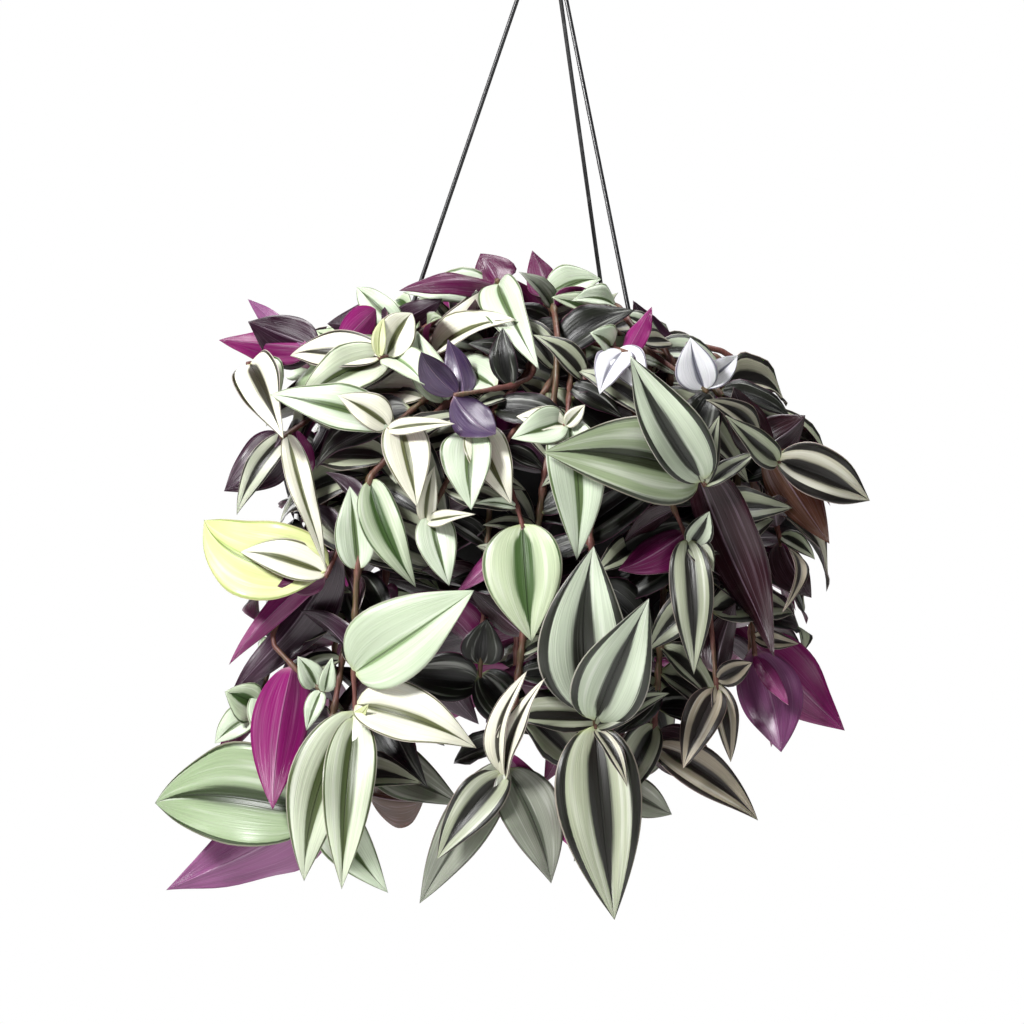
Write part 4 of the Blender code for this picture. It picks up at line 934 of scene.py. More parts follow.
        (0.013, -0.128, -0.196, -0.004, 0.022, 0.2, 0.1, 1, 0.08, "mint"),
    )),
    "low_rust": ((-0.088, -0.208, -0.034), (), (
        (0.002, -0.060, -0.2080, -0.024, 0.030, 0.2, -0.1, -1, 0.10, "brown"),
        (0.024, -0.043, -0.2090, -0.018, 0.028, 0.1, 0.1, 1, 0.08, "grey"),
        (0.032, -0.066, -0.196, -0.014, 0.022, 0.0, 0.0, -1, 0.10, "brown"),
    )),
    "low_centre": ((-0.0215, -0.1965, -0.002), (), (
        (0.000, -0.0025, -0.1475, 0.020, 0.015, -0.7, 0.2, 1, 0.15, "cream_striped"),
        (0.001, -0.0085, -0.144, 0.014, 0.015, -0.8, 0.2, 1, 0.22, "cream_striped"),
        (0.003, -0.054, -0.235, 0.010, 0.024, -0.2, 0.1, 1, 0.12, "grey_striped"),
        (0.005, 0.001, -0.2465, 0.002, 0.030, 0.1, 0.0, 1, 0.08, "grey"),
        (0.008, -0.0625, -0.257, -0.008, 0.026, 0.0, 0.0, 1, 0.08, "grey"),
        (0.012, 0.020, -0.237, 0.012, 0.012, -0.4, 0.0, -1, 0.05, "magenta"),
    )),
    "low_star": ((0.022, -0.1725, 0.006), (), (
        (0.000, 0.037, -0.199, 0.024, 0.010, 0.3, 0.0, 1, 0.12, "dark_striped"),
        (0.001, 0.057, -0.155, 0.018, 0.014, 0.3, 0.3, 1, 0.10, "grey_striped"),
        (0.002, 0.031, -0.2635, 0.014, 0.042, 0.0, 0.0, 1, 0.08, "grey_striped"),
        (0.004, 0.047, -0.110, 0.020, 0.037, 0.2, 0.1, 1, 0.10, "silver"),
        (0.007, 0.0215, -0.0845, 0.012, 0.046, -0.2, 0.1, 1, 0.10, "silver"),
    )),
    "low_behind": ((0.034, -0.2035, -0.034), (), (
        (0.003, 0.060, -0.2155, -0.030, 0.020, 0.1, 0.1, 1, 0.08, "grey"),
        (0.007, 0.012, -0.238, -0.030, 0.026, -0.1, 0.0, 1, 0.08, "grey"),
        (0.016, 0.062, -0.178, -0.024, 0.026, 0.2, 0.0, 1, 0.10, "grey"),
    )),
    "dark_right": ((0.081, -0.1555, 0.0), (), (
        (0.002, 0.064, -0.192, 0.010, 0.020, -0.2, 0.0, 1, 0.12, "umber_striped"),
        (0.004, 0.0875, -0.189, 0.006, 0.014, 0.3, 0.0, 1, 0.12, "umber_striped"),
        (0.006, 0.098, -0.141, 0.004, 0.014, 0.3, 0.1, 1, 0.10, "umber_striped"),
        (0.009, 0.090, -0.112, -0.004, 0.018, 0.3, 0.0, -1, 0.10, "burgundy"),
    )),
    "low_right": ((0.050, -0.183, -0.012), (), (
        (0.002, 0.1015, -0.217, 0.004, 0.024, 0.0, 0.3, 1, 0.08, "umber_striped"),
        (0.006, 0.084, -0.200, -0.012, 0.026, 0.1, 0.1, -1, 0.10, "burgundy"),
        (0.012, 0.030, -0.212, -0.006, 0.022, -0.1, 0.0, 1, 0.08, "grey_striped"),
    )),
    "magenta_right": ((0.100, -0.1385, -0.014), (), (
        (0.001, 0.1155, -0.162, 0.014, 0.010, 0.3, 0.0, -1, 0.05, "magenta"),
        (0.003, 0.112, -0.184, 0.008, 0.034, 0.0, 0.1, -1, 0.10, "mauve"),
        (0.006, 0.1435, -0.175, -0.006, 0.036, 0.1, 0.1, -1, 0.06, "magenta"),
        (0.010, 0.1215, -0.1325, -0.004, 0.010, 0.3, 0.1, 1, 0.10, "umber_striped"),
    )),
    "hanging_right": ((0.068, -0.085, -0.002), (), (
        (0.000, 0.079, -0.097, 0.008, 0.013, 0.2, 0.2, 1, 0.10, "grey_striped"),
        (0.001, 0.077, -0.068, 0.004, 0.014, 0.1, 0.1, 1, 0.10, "silver"),
        (0.004, 0.069, -0.146, 0.010, 0.022, -0.1, 0.0, 1, 0.08, "grey_striped"),
        (0.007, 0.033, -0.0965, 0.000, 0.022, 0.0, 0.5, -1, 0.10, "purple"),
    )),
    "burgundy_right": ((0.1135, -0.085, -0.020), (), (
        (0.001, 0.112, -0.1175, 0.012, 0.010, 0.7, 0.0, 1, 0.22, "umber_striped"),
        (0.003, 0.128, -0.110, -0.004, 0.022, 0.5, 0.0, -1, 0.14, "burgundy"),
        (0.006, 0.130, -0.0915, -0.010, 0.010, 0.2, 0.2, 1, 0.10, "grey_striped"),
        (0.010, 0.112, -0.060, -0.008, 0.022, 0.3, 0.2, -1, 0.10, "burgundy"),
    )),
    # This shoot's leaves have the near-black finish that is painted shade.
    "shade_centre": ((-0.034, -0.154, -0.018), (), (
        (0.003, -0.0735, -0.1465, -0.012, 0.026, 0.0, 0.2, 1, 0.08, "shade"),
        (0.007, -0.006, -0.176, -0.012, 0.026, 0.2, 0.1, 1, 0.10, "shade"),
        (0.012, -0.030, -0.120, -0.014, 0.022, 0.1, 0.1, 1, 0.10, "shade"),
    )),
}
TIERS = {
    "crown": (5, 20.0, 160.0, 0.050, 0.022, 0.034),
    "rim": (8, -14.0, 194.0, 0.116, -0.060, -0.020),
    "trail": (8, -6.0, 186.0, 0.106, -0.200, -0.110),
}
own_leaves = sum(len(rows) for _, _, rows in FRONT_SHOOTS.values())
print("front shoots:", len(FRONT_SHOOTS), "leaves:", own_leaves)

# %% [markdown]
# The plant grows by the same rules as its solids: stems leave the soil spread like a sunflower's
# seeds, climb over the rim and follow their points, and a leaf grows at each place that its row or
# the rule gives. These are the sizes, angles and choices of those rules.

# %% Numbers of the rules of growth
STEM_RADIUS = 0.0018
STEM_STEP = 0.045
STEM_TURN = math.radians(22)
FINE_STEP = 0.002
FOLD = math.radians(16)
BLADE_ROWS = (0.25, 0.62, 1.0)
FOLDED_LENGTH = 0.060
SHORTEST_LEAF = 0.022
SEED = 7
BUSH_CENTRE = Vector((-0.010, 0.0, -0.050))
BUSH_SIZE = Vector((0.190, 0.122, 0.150))
FLATTEST = 0.06
CREST_RADIUS = 0.083
CREST_Z = 0.009
LOW_CREST = 0.096
CLIMB_SHARE = 0.72
LIP_DROP = 0.004
HANG_CLEAR = 0.006
UPRIGHT_FROM = 0.020
UPRIGHT_BOW = 0.008
TRAILING_FROM = 0.012
HANGING_FROM = 0.070
STEM_LIFTS = (0.0, 0.005, 0.010, 0.015, 0.020)
STEM_SWINGS = (0, 4, -4, 8, -8, 12, -12, 16, -16)
FIRST_SPACING = 0.003
SPACING_GROWTH = 0.004
LAST_SPACING = 0.023
LONGEST_LEAF = 0.074
YOUNGEST_SHARE = 0.65
YOUNG_LEAVES = 1.8
LEAVES_BY_RULE = 10
LEAF_SLIMNESS = 0.48
UNDERSIDE_SHARE = 0.26
YOUNG_SPREAD = 38
GROWN_SPREAD = 68
GROWN_AT = 0.020
DROOP = 0.12
FLIPPED_RISE = 0.55
RULE_ARCH = 0.11
FIRST_FILL = 0.018
OUTWARD = (0.35,)
INWARD = (-0.3, -0.9)
NEARER_STEPS = (0, 0.004, -0.004, 0.008, -0.008, 0.013, -0.013, 0.018, -0.018, 0.026, -0.026)
OWN_SWINGS = (0, 12, -12, 26, -26)
OWN_SHARES = (1, 0.93, 0.85, 0.75)
RULE_SHARES = (1, 0.82, 0.66)
RULE_LIFTS = (0, 16, -16, 32, -32)
RULE_SWINGS = (0, 15, -15, 30, -30)
UP = Vector((0, 0, 1))
print("widest of the bush:", round(BUSH_SIZE.x * 2000), "mm")

# %% [markdown]
# The front of the bush is a rounded wall. A route is a smooth curve through a few points, and it
# can be asked for a place at some distance back from its growing tip.

# %% The front of the bush, and routes


def front_depth(x, z, proud):
    """How far the bush reaches forwards at x and z, as a y value. It hangs straight below."""
    across = (x - BUSH_CENTRE.x) / BUSH_SIZE.x
    up = max(0.0, z - BUSH_CENTRE.z) / BUSH_SIZE.z
    return -BUSH_SIZE.y * math.sqrt(max(FLATTEST, 1 - across**2 - up**2)) - proud


def front_point(x, z, proud):
    """A point of the bush's front, from the middle of the rim."""
    return Vector((x, front_depth(x, z, proud), z))


def smooth_route(points, step):
    """A smooth curve through the points, sampled about every step."""
    ends = [2 * points[0] - points[1], *points, 2 * points[-1] - points[-2]]
    found = [points[0].copy()]
    for before, start, end, after in zip(ends, ends[1:], ends[2:], ends[3:]):
        count = max(1, round((end - start).length / step))
        for k in range(1, count + 1):
            t = k / count
            found.append(0.5 * (
                2 * start
                + (end - before) * t
                + (2 * before - 5 * start + 4 * end - after) * t**2
                + (3 * start - before - 3 * end + after) * t**3
            ))
    return found


def at_distance_back(route, back):
    """The point this far back from a route's end, and the direction towards the end there."""
    left = back
    for end, start in zip(route[::-1], route[-2::-1]):
        span = (end - start).length
        if left <= span:
            return end.lerp(start, left / span), (end - start).normalized()
        left -= span
    return route[0].copy(), (route[1] - route[0]).normalized()


def route_length(route):
    return sum((end - start).length for start, end in zip(route, route[1:]))


def stem_points(route):
    """The few points of a route that its plain stem has: more where it turns."""
    kept = [route[0]]
    way = (route[1] - route[0]).normalized()
    for before, point in zip(route[1:], route[2:]):
        ahead = (point - before).normalized()
        if ahead.angle(way) > STEM_TURN or (before - kept[-1]).length > STEM_STEP:
            kept.append(before)
            way = ahead
    if (route[-1] - kept[-1]).length < FINE_STEP * 2:
        kept.pop()
    return [*kept, route[-1]]


# %% [markdown]
# Each stem has a spot in the soil, climbs to a crest over the rim and follows its points down. The
# stems behind grow in three tiers, spread round the pot by a seeded rule.

# %% Where the stems grow
RIM_MARGIN = 0.013
SURFACE_RISE = 0.004
BEARING_SHAKE = 4
REACH_SHARES = (0.92, 1.08)


def root_spots(count):
    """Places in the soil for the stems, spread like a sunflower's seeds, at the soil's depth."""
    golden = math.pi * (3 - math.sqrt(5))
    spread = WALL_TOP_RADIUS - RIM_MARGIN
    z = RIM_Z - SOIL_DROP - ROOT_DEPTH
    return [
        Vector((spread * math.sqrt((k + 0.5) / count) * math.cos(k * golden),
                spread * math.sqrt((k + 0.5) / count) * math.sin(k * golden), z))
        for k in range(count)
    ]


def stem_control(root, via, tip, swing, lift):
    """The points that a stem goes through: out of the soil, over the rim if it trails, and on."""
    surface = root + Vector((0, 0, ROOT_DEPTH + SURFACE_RISE))
    first = via[0] if via else tip
    radius = math.hypot(first.x, first.y)
    bearing = math.degrees(math.atan2(first.y, first.x)) + swing
    if first.z > RIM_Z + UPRIGHT_FROM and radius < LOW_CREST:
        halfway = surface.lerp(first, 0.5) + Vector((0, 0, UPRIGHT_BOW + lift))
        return [surface, halfway, *via, tip]
    rise = polar(CREST_RADIUS * CLIMB_SHARE, bearing, RIM_Z + CREST_Z * CLIMB_SHARE + lift)
    crest = polar(CREST_RADIUS, bearing, RIM_Z + CREST_Z + lift)
    points = [surface, rise, crest]
    if first.z < RIM_Z - TRAILING_FROM:
        points.append(polar(LOW_CREST + lift * 0.5, bearing, RIM_Z - LIP_DROP))
    if first.z < RIM_Z - HANGING_FROM:
        side = polar(LOW_CREST + HANG_CLEAR, bearing, first.z).lerp(first, 0.5)
        points.append(Vector((side.x, side.y, RIM_Z - LIP_DROP + (first.z - RIM_Z) * 0.5)))
    return [*points, *via, tip]


def plan_shoots():
    """Every shoot's name, its tip, the points that its stem must pass and its own leaves."""
    chance = random.Random(SEED)
    shoots = []
    for name, (tip, via, leaves) in FRONT_SHOOTS.items():
        passed = [rim_frame(front_point(*point)) for point in via]
        shoots.append((name, rim_frame(front_point(*tip)), passed, leaves))
    for tier, (count, start, end, radius, low, high) in TIERS.items():
        for k in range(count):
            shake = chance.uniform(-BEARING_SHAKE, BEARING_SHAKE)
            bearing = start + (end - start) * (k + 0.5) / count + shake
            z = chance.uniform(low, high)
            reach = radius * chance.uniform(*REACH_SHARES)
            shoots.append((f"{tier}_{k + 1}", rim_frame(polar(reach, bearing, z)), [], ()))
    return shoots


shoots = plan_shoots()
print("shoots:", len(shoots))

# %% [markdown]
# A leaf is described by its base and tip, its width, the way its upper side looks, and its arch. It
# is wide near its base and drawn out to a point, which one formula gives.

# %% A leaf's form
BASE_POWER = 0.55
TIP_POWER = 1.05


def outline(v):
    """A leaf's half width at v, from 0 at its base to 1 at its tip, as a share of the widest."""
    widest = BASE_POWER / (BASE_POWER + TIP_POWER)
    peak = widest**BASE_POWER * (1 - widest) ** TIP_POWER
    return np.clip(v, 0, 1) ** BASE_POWER * np.clip(1 - v, 0, 1) ** TIP_POWER / peak


class Leaf:
    """A blade from its base on the stem to its tip. face is the way its upper side looks."""

    def __init__(self, base, tip, width, face, arch):
        self.base = base
        self.tip = tip
        self.width = width
        self.arch = arch
        self.sweep = 0.0
        along = (tip - base).normalized()
        self.face = (face - along * face.dot(along)).normalized()
        self.side = along.cross(self.face)

    def length(self):
        return (self.tip - self.base).length

    def plain_point(self, u, v):
        """A point of the plain solid's middle: u is -1 to 1 across, v is 0 to 1 along."""
        folded = self.length() > FOLDED_LENGTH
        half = self.width / 2 * float(outline(v))
        lift = half * (abs(u) if folded else 0.5) * math.sin(FOLD)
        rise = self.arch * self.length() * 4 * v * (1 - v)
        return (
            self.base
            + (self.tip - self.base) * v
            + self.side * (u * half * math.cos(FOLD))
            + self.face * (rise + lift)
        )


print("widest at", max(range(101), key=lambda k: outline(k / 100)), "% of the length")

# %% [markdown]
# A leaf listed in a row has the numbers of that row. One that grows by rule stands out to alternate
# sides of its stem, wider from it as it ages, and droops unless its underside shows.

# %% Leaves listed and by rule
SHORTEST_SIDE = 0.2
FACE_OUT = 0.8
FACE_UP = 0.55
FLIPPED_UP = 0.5


def front_leaf(route, row, nearer, swing, share):
    """One of a front shoot's own leaves, moved in depth, turned and shortened as asked."""
    back, x, z, proud, width, look_x, look_z, side, arch = row[:9]
    base, _ = at_distance_back(route, back)
    tip = rim_frame(front_point(x, z, proud + nearer))
    tip = base + (tip - base) * share
    look = Vector((look_x, -1, look_z)) * side
    along = (tip - base).normalized()
    look = Matrix.Rotation(math.radians(swing), 3, along) @ look
    return Leaf(base, tip, width * (0.5 + share / 2), look, arch)


def rule_leaf(route, back, length, hand, flip, lean, swing, lift, share):
    """A leaf placed by rule: out to one side of its stem, upper side out and up unless flipped."""
    base, ahead = at_distance_back(route, back)
    out = Vector((base.x, base.y, 0)).normalized()
    side = ahead.cross(out)
    if side.length < SHORTEST_SIDE:
        side = UP.cross(out)
    side.normalize()
    age = min(1.0, back / GROWN_AT)
    spread = math.radians(YOUNG_SPREAD + (GROWN_SPREAD - YOUNG_SPREAD) * age + swing)
    aim = ahead * math.cos(spread) + side * (hand * math.sin(spread)) + out * lean
    aim = aim.normalized() + UP * (math.sin(math.radians(lift)) + (FLIPPED_RISE if flip else -DROOP))
    aim.normalize()
    look = out * FACE_OUT + UP * FACE_UP
    if flip:
        look = -out + UP * FLIPPED_UP
    size = length * share
    return Leaf(base, base + aim * size, size * LEAF_SLIMNESS, look, RULE_ARCH)


def rule_places():
    """How far back from its growing tip each leaf of a shoot grows, and its length, by rule."""
    back = FIRST_SPACING / 2
    for k in range(LEAVES_BY_RULE):
        yield back, LONGEST_LEAF * (1 - YOUNGEST_SHARE * math.exp(-k / YOUNG_LEAVES))
        back += min(LAST_SPACING, FIRST_SPACING + SPACING_GROWTH * k)


print("oldest leaf by rule:", round(max(length for _, length in rule_places()) * 1000), "mm")

# %% [markdown]
# The solids gave way to each other as they were made: a stem was swung aside, or a leaf turned or
# shortened, where there was no room. The same ways are tried here in the same order, and the stem
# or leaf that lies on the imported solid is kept, so every fine leaf that has a solid is where its
# solid is. A leaf too small for the solids takes the first place tried at which it is too small.

# %% Find the stems on their solids
BLADE_LIMIT = 0.00065
STEM_LIMIT = STEM_RADIUS * 1.1


def tree_of(*nodes):
    """The solids of these nodes in one tree, for the nearest point or an overlap."""
    points, faces = [], []
    for node in nodes:
        node.data.calc_loop_triangles()
        start = len(points)
        points += [vert.co.copy() for vert in node.data.vertices]
        for face in node.data.loop_triangles:
            faces.append(tuple(start + corner for corner in face.vertices))
    return BVHTree.FromPolygons(points, faces)


def furthest(tree, points):
    return max(tree.find_nearest(point)[3] for point in points)


def find_routes():
    """Each stem's own route: the one tried that its solid follows best."""
    spots = root_spots(len(shoots))
    found = {}
    for name, tip, via, _ in shoots:
        first = via[0] if via else tip
        root = min(spots, key=lambda spot: (spot.xy - first.xy).length)
        spots.remove(root)
        best = 1.0
        for lift, swing in itertools.product(STEM_LIFTS, STEM_SWINGS):
            passed = stem_control(root, via, tip, swing, lift)
            route = [root, *stem_points(smooth_route(passed, FINE_STEP))]
            miss = furthest(trees[name], route)
            if miss < best:
                best, found[name] = miss, route
        if best > STEM_LIMIT:
            print("stem off its solid:", name, round(best * 1000, 1), "mm")
    return found


def settled(tree, choices):
    """The first choice whose blade lies on the solid, or the first of all for a small leaf."""
    for leaf in choices:
        if leaf.length() < SHORTEST_LEAF:
            return leaf
        points = [leaf.plain_point(u, v) for v in BLADE_ROWS for u in (-1, 1)]
        if all(tree.find_nearest(point, BLADE_LIMIT)[0] is not None for point in points):
            return leaf
    return None


trees = {name: tree_of(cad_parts[f"vine_{name}"]) for name, _, _, _ in shoots}
routes = find_routes()
print("stems found:", len(routes))

# %% [markdown]
# Leaves that grow by rule take their finish from their place: mint and cream at the left, striped
# silver in the middle, grey and umber at the right, which is partly their own colour and partly
# painted light from the left. Deep inside and behind the front, except high up and at the flanks,
# they take near-black, dark purple and burgundy finishes that are painted shade.

# %% Finish of a leaf by its place
# Paler at the left and greyer at the right: partly the leaves' own colours, partly painted light from
# the left.
LEFT_MIX = ("mint", "mint_striped", "cream", "green_centre", "plain_mint", "sage_green")
MIDDLE_MIX = ("silver", "striped", "mint", "sage", "green_centre", "grey_striped")
RIGHT_MIX = ("grey_striped", "dark_striped", "umber_striped", "silver", "grey")
LEFT_UNDER = ("magenta", "purple", "dark_purple")
RIGHT_UNDER = ("burgundy", "purple", "dark_purple", "brown")
# Painted shade: the near-black, dark purple and burgundy finishes given to leaves in the plant's own
# shade.
SHADE_MIX = ("shade", "shade", "dark_purple", "burgundy")
DEEP = 0.62
BEHIND_FRONT = 0.005
FLANK = 0.70
SHADE_TOP = -0.012
DARK_MIDDLE = (-0.040, 0.022)
DARK_MIDDLE_TOP = 0.030
FRONT_HALF = 0.02
SIDE_SHAKE = 0.35
MIDDLE_SHARE = 0.25


def in_shade(place):
    """Whether a place, from the middle of the rim, lies in the plant's own shade."""
    if math.hypot(place.x - BUSH_CENTRE.x, place.y) < DEEP * BUSH_SIZE.y and place.z < SHADE_TOP:
        return True
    if abs(place.x - BUSH_CENTRE.x) > FLANK * BUSH_SIZE.x:
        return False
    middle = DARK_MIDDLE[0] < place.x < DARK_MIDDLE[1]
    top = DARK_MIDDLE_TOP if middle else SHADE_TOP
    behind = place.y - front_depth(place.x, place.z, 0)
    return place.y < FRONT_HALF and behind > BEHIND_FRONT and place.z < top


def rule_finish(leaf, flip, chance):
    """The finish of a leaf that grows by rule, from where it is."""
    middle = leaf.plain_point(0, 0.5) - rim_frame((0, 0, 0))
    side = (middle.x - BUSH_CENTRE.x) / BUSH_SIZE.x + chance.uniform(-SIDE_SHAKE, SIDE_SHAKE)
    pick = chance.random()
    if in_shade(middle):
        mix = SHADE_MIX
    elif flip:
        mix = LEFT_UNDER if side < 0 else RIGHT_UNDER
    elif side < -MIDDLE_SHARE:
        mix = LEFT_MIX
    else:
        mix = MIDDLE_MIX if side < MIDDLE_SHARE else RIGHT_MIX
    return mix[int(pick * len(mix))]


print("mixes:", len({SHADE_MIX, LEFT_UNDER, RIGHT_UNDER, LEFT_MIX, MIDDLE_MIX, RIGHT_MIX}))

# %% [markdown]
# Leaves listed in the rows are looked for first, the broadest of a stem before the others, and then
# those by rule. Two leaves sweep sideways, by a share of their length, as in the photo. The table
# gives them by stem and by place on it.

# %% Find the leaves
SWEEPS = {("lime_left", 0.005): -0.11, ("low_left", 0.007): 0.10}
GROWN_SHARES = (0.85, 1.08)
NEAR_ROOT = 0.030


def own_leaves_found(name, rows):
    """The leaves of one stem that are listed in its rows and have room."""
    for row in sorted(rows, key=lambda row: -row[4]):
        choices = (
            front_leaf(routes[name], row, nearer, swing, share)
            for share in OWN_SHARES
            for swing in OWN_SWINGS
            for nearer in NEARER_STEPS
        )
        leaf = settled(trees[name], choices)
        if leaf is not None:
            leaf.sweep = SWEEPS.get((name, row[0]), 0.0)
            yield leaf, row[9], True, row[0]


def find_leaves():
    """Each stem's leaves as (leaf, finish, whether it was listed in a row, distance back)."""
    found = {name: list(own_leaves_found(name, rows)) for name, _, _, rows in shoots}
    print("leaves by hand without room:", own_leaves - sum(map(len, found.values())))

    chance = random.Random(SEED)
    shade_chance = random.Random(SEED + 1)
    for name, _, _, rows in shoots:
        start = max([row[0] for row in rows], default=-FIRST_FILL) + FIRST_FILL
        hand = chance.choice((-1, 1))
        stem_length = route_length(routes[name])
        for back, length in rule_places():
            hand = -hand
            flip = chance.random() < UNDERSIDE_SHARE
            grown = length * chance.uniform(*GROWN_SHARES)
            if back < start - 0.001 or back > stem_length - NEAR_ROOT:
                continue
            choices = (
                rule_leaf(routes[name], back, grown, hand, flip, lean, swing, lift, share)
                for share in RULE_SHARES
                for lean in (INWARD if rows else OUTWARD)
                for lift in RULE_LIFTS
                for swing in RULE_SWINGS
            )
            leaf = settled(trees[name], choices)
            if leaf is not None:
                found[name].append((leaf, rule_finish(leaf, flip, shade_chance), False, back))
    return found


leaves = find_leaves()
print("leaves found:", sum(len(grown) for grown in leaves.values()))

# %% [markdown]
# The solids carry the leaves that give the plant its outline. The real one is closed by many more
# inside, in its own shade, and over the soil. A leaf is added only where it stays inside the bush:
# under its skyline, behind its front, near enough to the pot and not under its rim.

# %% Inside the bush
SKYLINE = (
    (-0.200, -0.020),
    (-0.176, 0.008),
    (-0.120, 0.022),
    (-0.064, 0.046),
    (0.020, 0.050),
    (0.060, 0.006),
    (0.126, -0.028),
    (0.165, -0.070),
)
HEADROOM = 0.012
RIGHT_SHOULDER = 0.040
REACH_BEHIND = 0.150
CLEAR_BELOW = 0.02


def in_bush(leaf, depth):
    """Whether a leaf stays under the skyline, and this far behind the bush's front."""
    for v in (0.5, 1.0):
        place = leaf.plain_point(0, v) - rim_frame((0, 0, 0))
        top = np.interp(place.x, [x for x, _ in SKYLINE], [z for _, z in SKYLINE])
        if place.x > RIGHT_SHOULDER:
            top += HEADROOM
        if place.z > top or place.y < front_depth(place.x, place.z, -depth):
            return False
        radius = math.hypot(place.x, place.y)
        if radius > REACH_BEHIND or place.z + RIM_Z < cad_box[0][2] + CLEAR_BELOW:
            return False
        if place.z < 0 and radius < RIM_RADIUS:
            return False
    return True


print("skyline points:", len(SKYLINE))

# %% [markdown]
# It must also be clear of the rest: a plain slab of its blade, from a little way out of the stem,
# may meet no solid and none of the slabs before it.

# %% Room for more leaves
FILL_CLEAR_FROM = 0.22
FILL_ROOM = 0.0030
FILL_DEPTH = 0.006


def plain_blade(leaf):
    """A leaf's plain blade as a tree for overlap tests, with its box."""
    bm = bmesh.new()
    bmesh.ops.create_grid(bm, x_segments=2, y_segments=3, size=1)
    for vert in bm.verts:
        v = FILL_CLEAR_FROM + (1 - FILL_CLEAR_FROM) * (vert.co.y + 1) / 2
        vert.co = leaf.plain_point(vert.co.x, v) + leaf.face * (FILL_ROOM / 2)
    bmesh.ops.remove_doubles(bm, verts=bm.verts, dist=1e-6)
    bmesh.ops.solidify(bm, geom=bm.faces, thickness=FILL_ROOM)
    points = [vert.co for vert in bm.verts]
    low = Vector(min(p[i] for p in points) for i in range(3))
    high = Vector(max(p[i] for p in points) for i in range(3))
    tree = BVHTree.FromBMesh(bm)
    bm.free()
    return tree, low, high


def boxes_meet(first, second):
    return all(first[1][i] <= second[2][i] and second[1][i] <= first[2][i] for i in range(3))


solids = tree_of(*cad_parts.values())
slabs = []


def has_room(leaf):
    """Whether a leaf stays in the bush and clear of the rest. If so, its slab is kept."""
    if not in_bush(leaf, FILL_DEPTH):
        return False
    slab = plain_blade(leaf)
    if solids.overlap(slab[0]):
        return False
    if any(boxes_meet(slab, other) and slab[0].overlap(other[0]) for other in slabs):
        return False
    slabs.append(slab)
    return True


print("solids in the way:", len(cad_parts))

# %% [markdown]
# They grow along the bare stretches of every stem, at even steps back from its tip. At each place
# several sizes, leans and turns are tried, and the first with room is kept.

# %% Leaves that fill the plant
FILL_SPACING = 0.010
FILL_START = 0.020
FILL_END = 0.006
FILL_LENGTHS = (0.036, 0.062)
FILL_SHARES = (1, 0.75, 0.55)
FILL_LEANS = (0.5, 0.0, -0.5)
FILL_LIFTS = (0, 30, -30, 60)
FILL_TURNS = ((1, 0), (-1, 0), (1, 30))
SAME_PLACE = 0.005


def fill(name, chance):
    """Adds the leaves that fill the plant to one stem."""
    end = route_length(routes[name]) - ROOT_DEPTH - FILL_END
    taken = [back for _, _, _, back in leaves[name]]
    back = FILL_START
    hand = 1
    while back < end:
        hand = -hand
        length = chance.uniform(*FILL_LENGTHS)
        flip = chance.random() < UNDERSIDE_SHARE
        if all(abs(back - place) >= SAME_PLACE for place in taken):
            choices = (
                rule_leaf(routes[name], back, length, hand * way, flip, lean, swing, lift, share)
                for share in FILL_SHARES
                for lean in FILL_LEANS
                for lift in FILL_LIFTS
                for way, swing in FILL_TURNS
            )
            leaf = next((leaf for leaf in choices if has_room(leaf)), None)
            if leaf is not None:
                leaves[name].append((leaf, rule_finish(leaf, flip, chance), False, back))
        back += FILL_SPACING


fill_chance = random.Random(SEED + 2)
for name, _, _, _ in shoots:
    fill(name, fill_chance)
print("leaves that fill:", len(slabs))

# %% [markdown]
# The fine leaf starts flat, as a slab of a grid, so that its two faces and its map are easy to set.
# Leaves listed in the rows have the finest grid.

# %% Flat leaves to bend
BY_HAND_GRID = (12, 22)
BY_RULE_GRID = (6, 12)
SMALL_GRID = (6, 9)


def add_layers(bm):
    """Gives a bmesh the layers that the leaves' finishes read, and returns the map."""
    leaf_map = bm.loops.layers.uv.new("leaf_map")
    for layer in ("leaf_band", "leaf_dark", "leaf_under"):
        bm.verts.layers.float_color.new(layer)
    bm.verts.layers.float.new("leaf_number")
    return leaf_map


def flat_leaf(columns, rows):
    """A flat slab from -1 to 1 in x, y and z, with the leaf's map on it. The top is material 1."""
    bm = bmesh.new()
    bmesh.ops.create_grid(bm, x_segments=columns, y_segments=rows, size=1)
    for vert in bm.verts:
        vert.co.z = 1
    bmesh.ops.solidify(bm, geom=bm.faces, thickness=2)
    bmesh.ops.recalc_face_normals(bm, faces=bm.faces)
    leaf_map = add_layers(bm)
    for face in bm.faces:
        face.material_index = 2 if face.normal.z < -0.5 else 1
        for loop in face.loops:
            loop[leaf_map].uv = ((loop.vert.co.x + 1) / 2, (loop.vert.co.y + 1) / 2)
    mesh = bpy.data.meshes.new("flat_leaf")
    bm.to_mesh(mesh)
    bm.free()
    corners = np.empty(len(mesh.vertices) * 3)
    mesh.vertices.foreach_get("co", corners)
    return mesh, corners.reshape(-1, 3)


flat_leaves = {grid: flat_leaf(*grid) for grid in (BY_HAND_GRID, BY_RULE_GRID, SMALL_GRID)}
print("corners of a flat leaf:", [len(corners) for _, corners in flat_leaves.values()])

# %% [markdown]
# A formula then moves every corner of the slab: out to the leaf's outline, up into a soft fold
# along the midrib, along the arch, and into waves that grow towards the margin. Each leaf also
# curls at its tip, bows sideways and twists by chance. Broad leaves are folded less at their base.

# %% Bend a leaf
EDGE_SHARE = 0.35
FINE_THICKNESS = 0.0006
PLUMP = 1.05
BROAD_LEAF = 0.036
UNEVEN = 0.10
CREASE = 0.012
FOLD_CHANGES = (0.8, 1.3)
PILLOW = 0.07
SUNK = 0.12
WAVES = (1.2, 2.2)
WAVE_HEIGHTS = (0.014, 0.034)
CURLS = (-0.02, 0.07)
BOW = 0.06
TWIST = 0.35


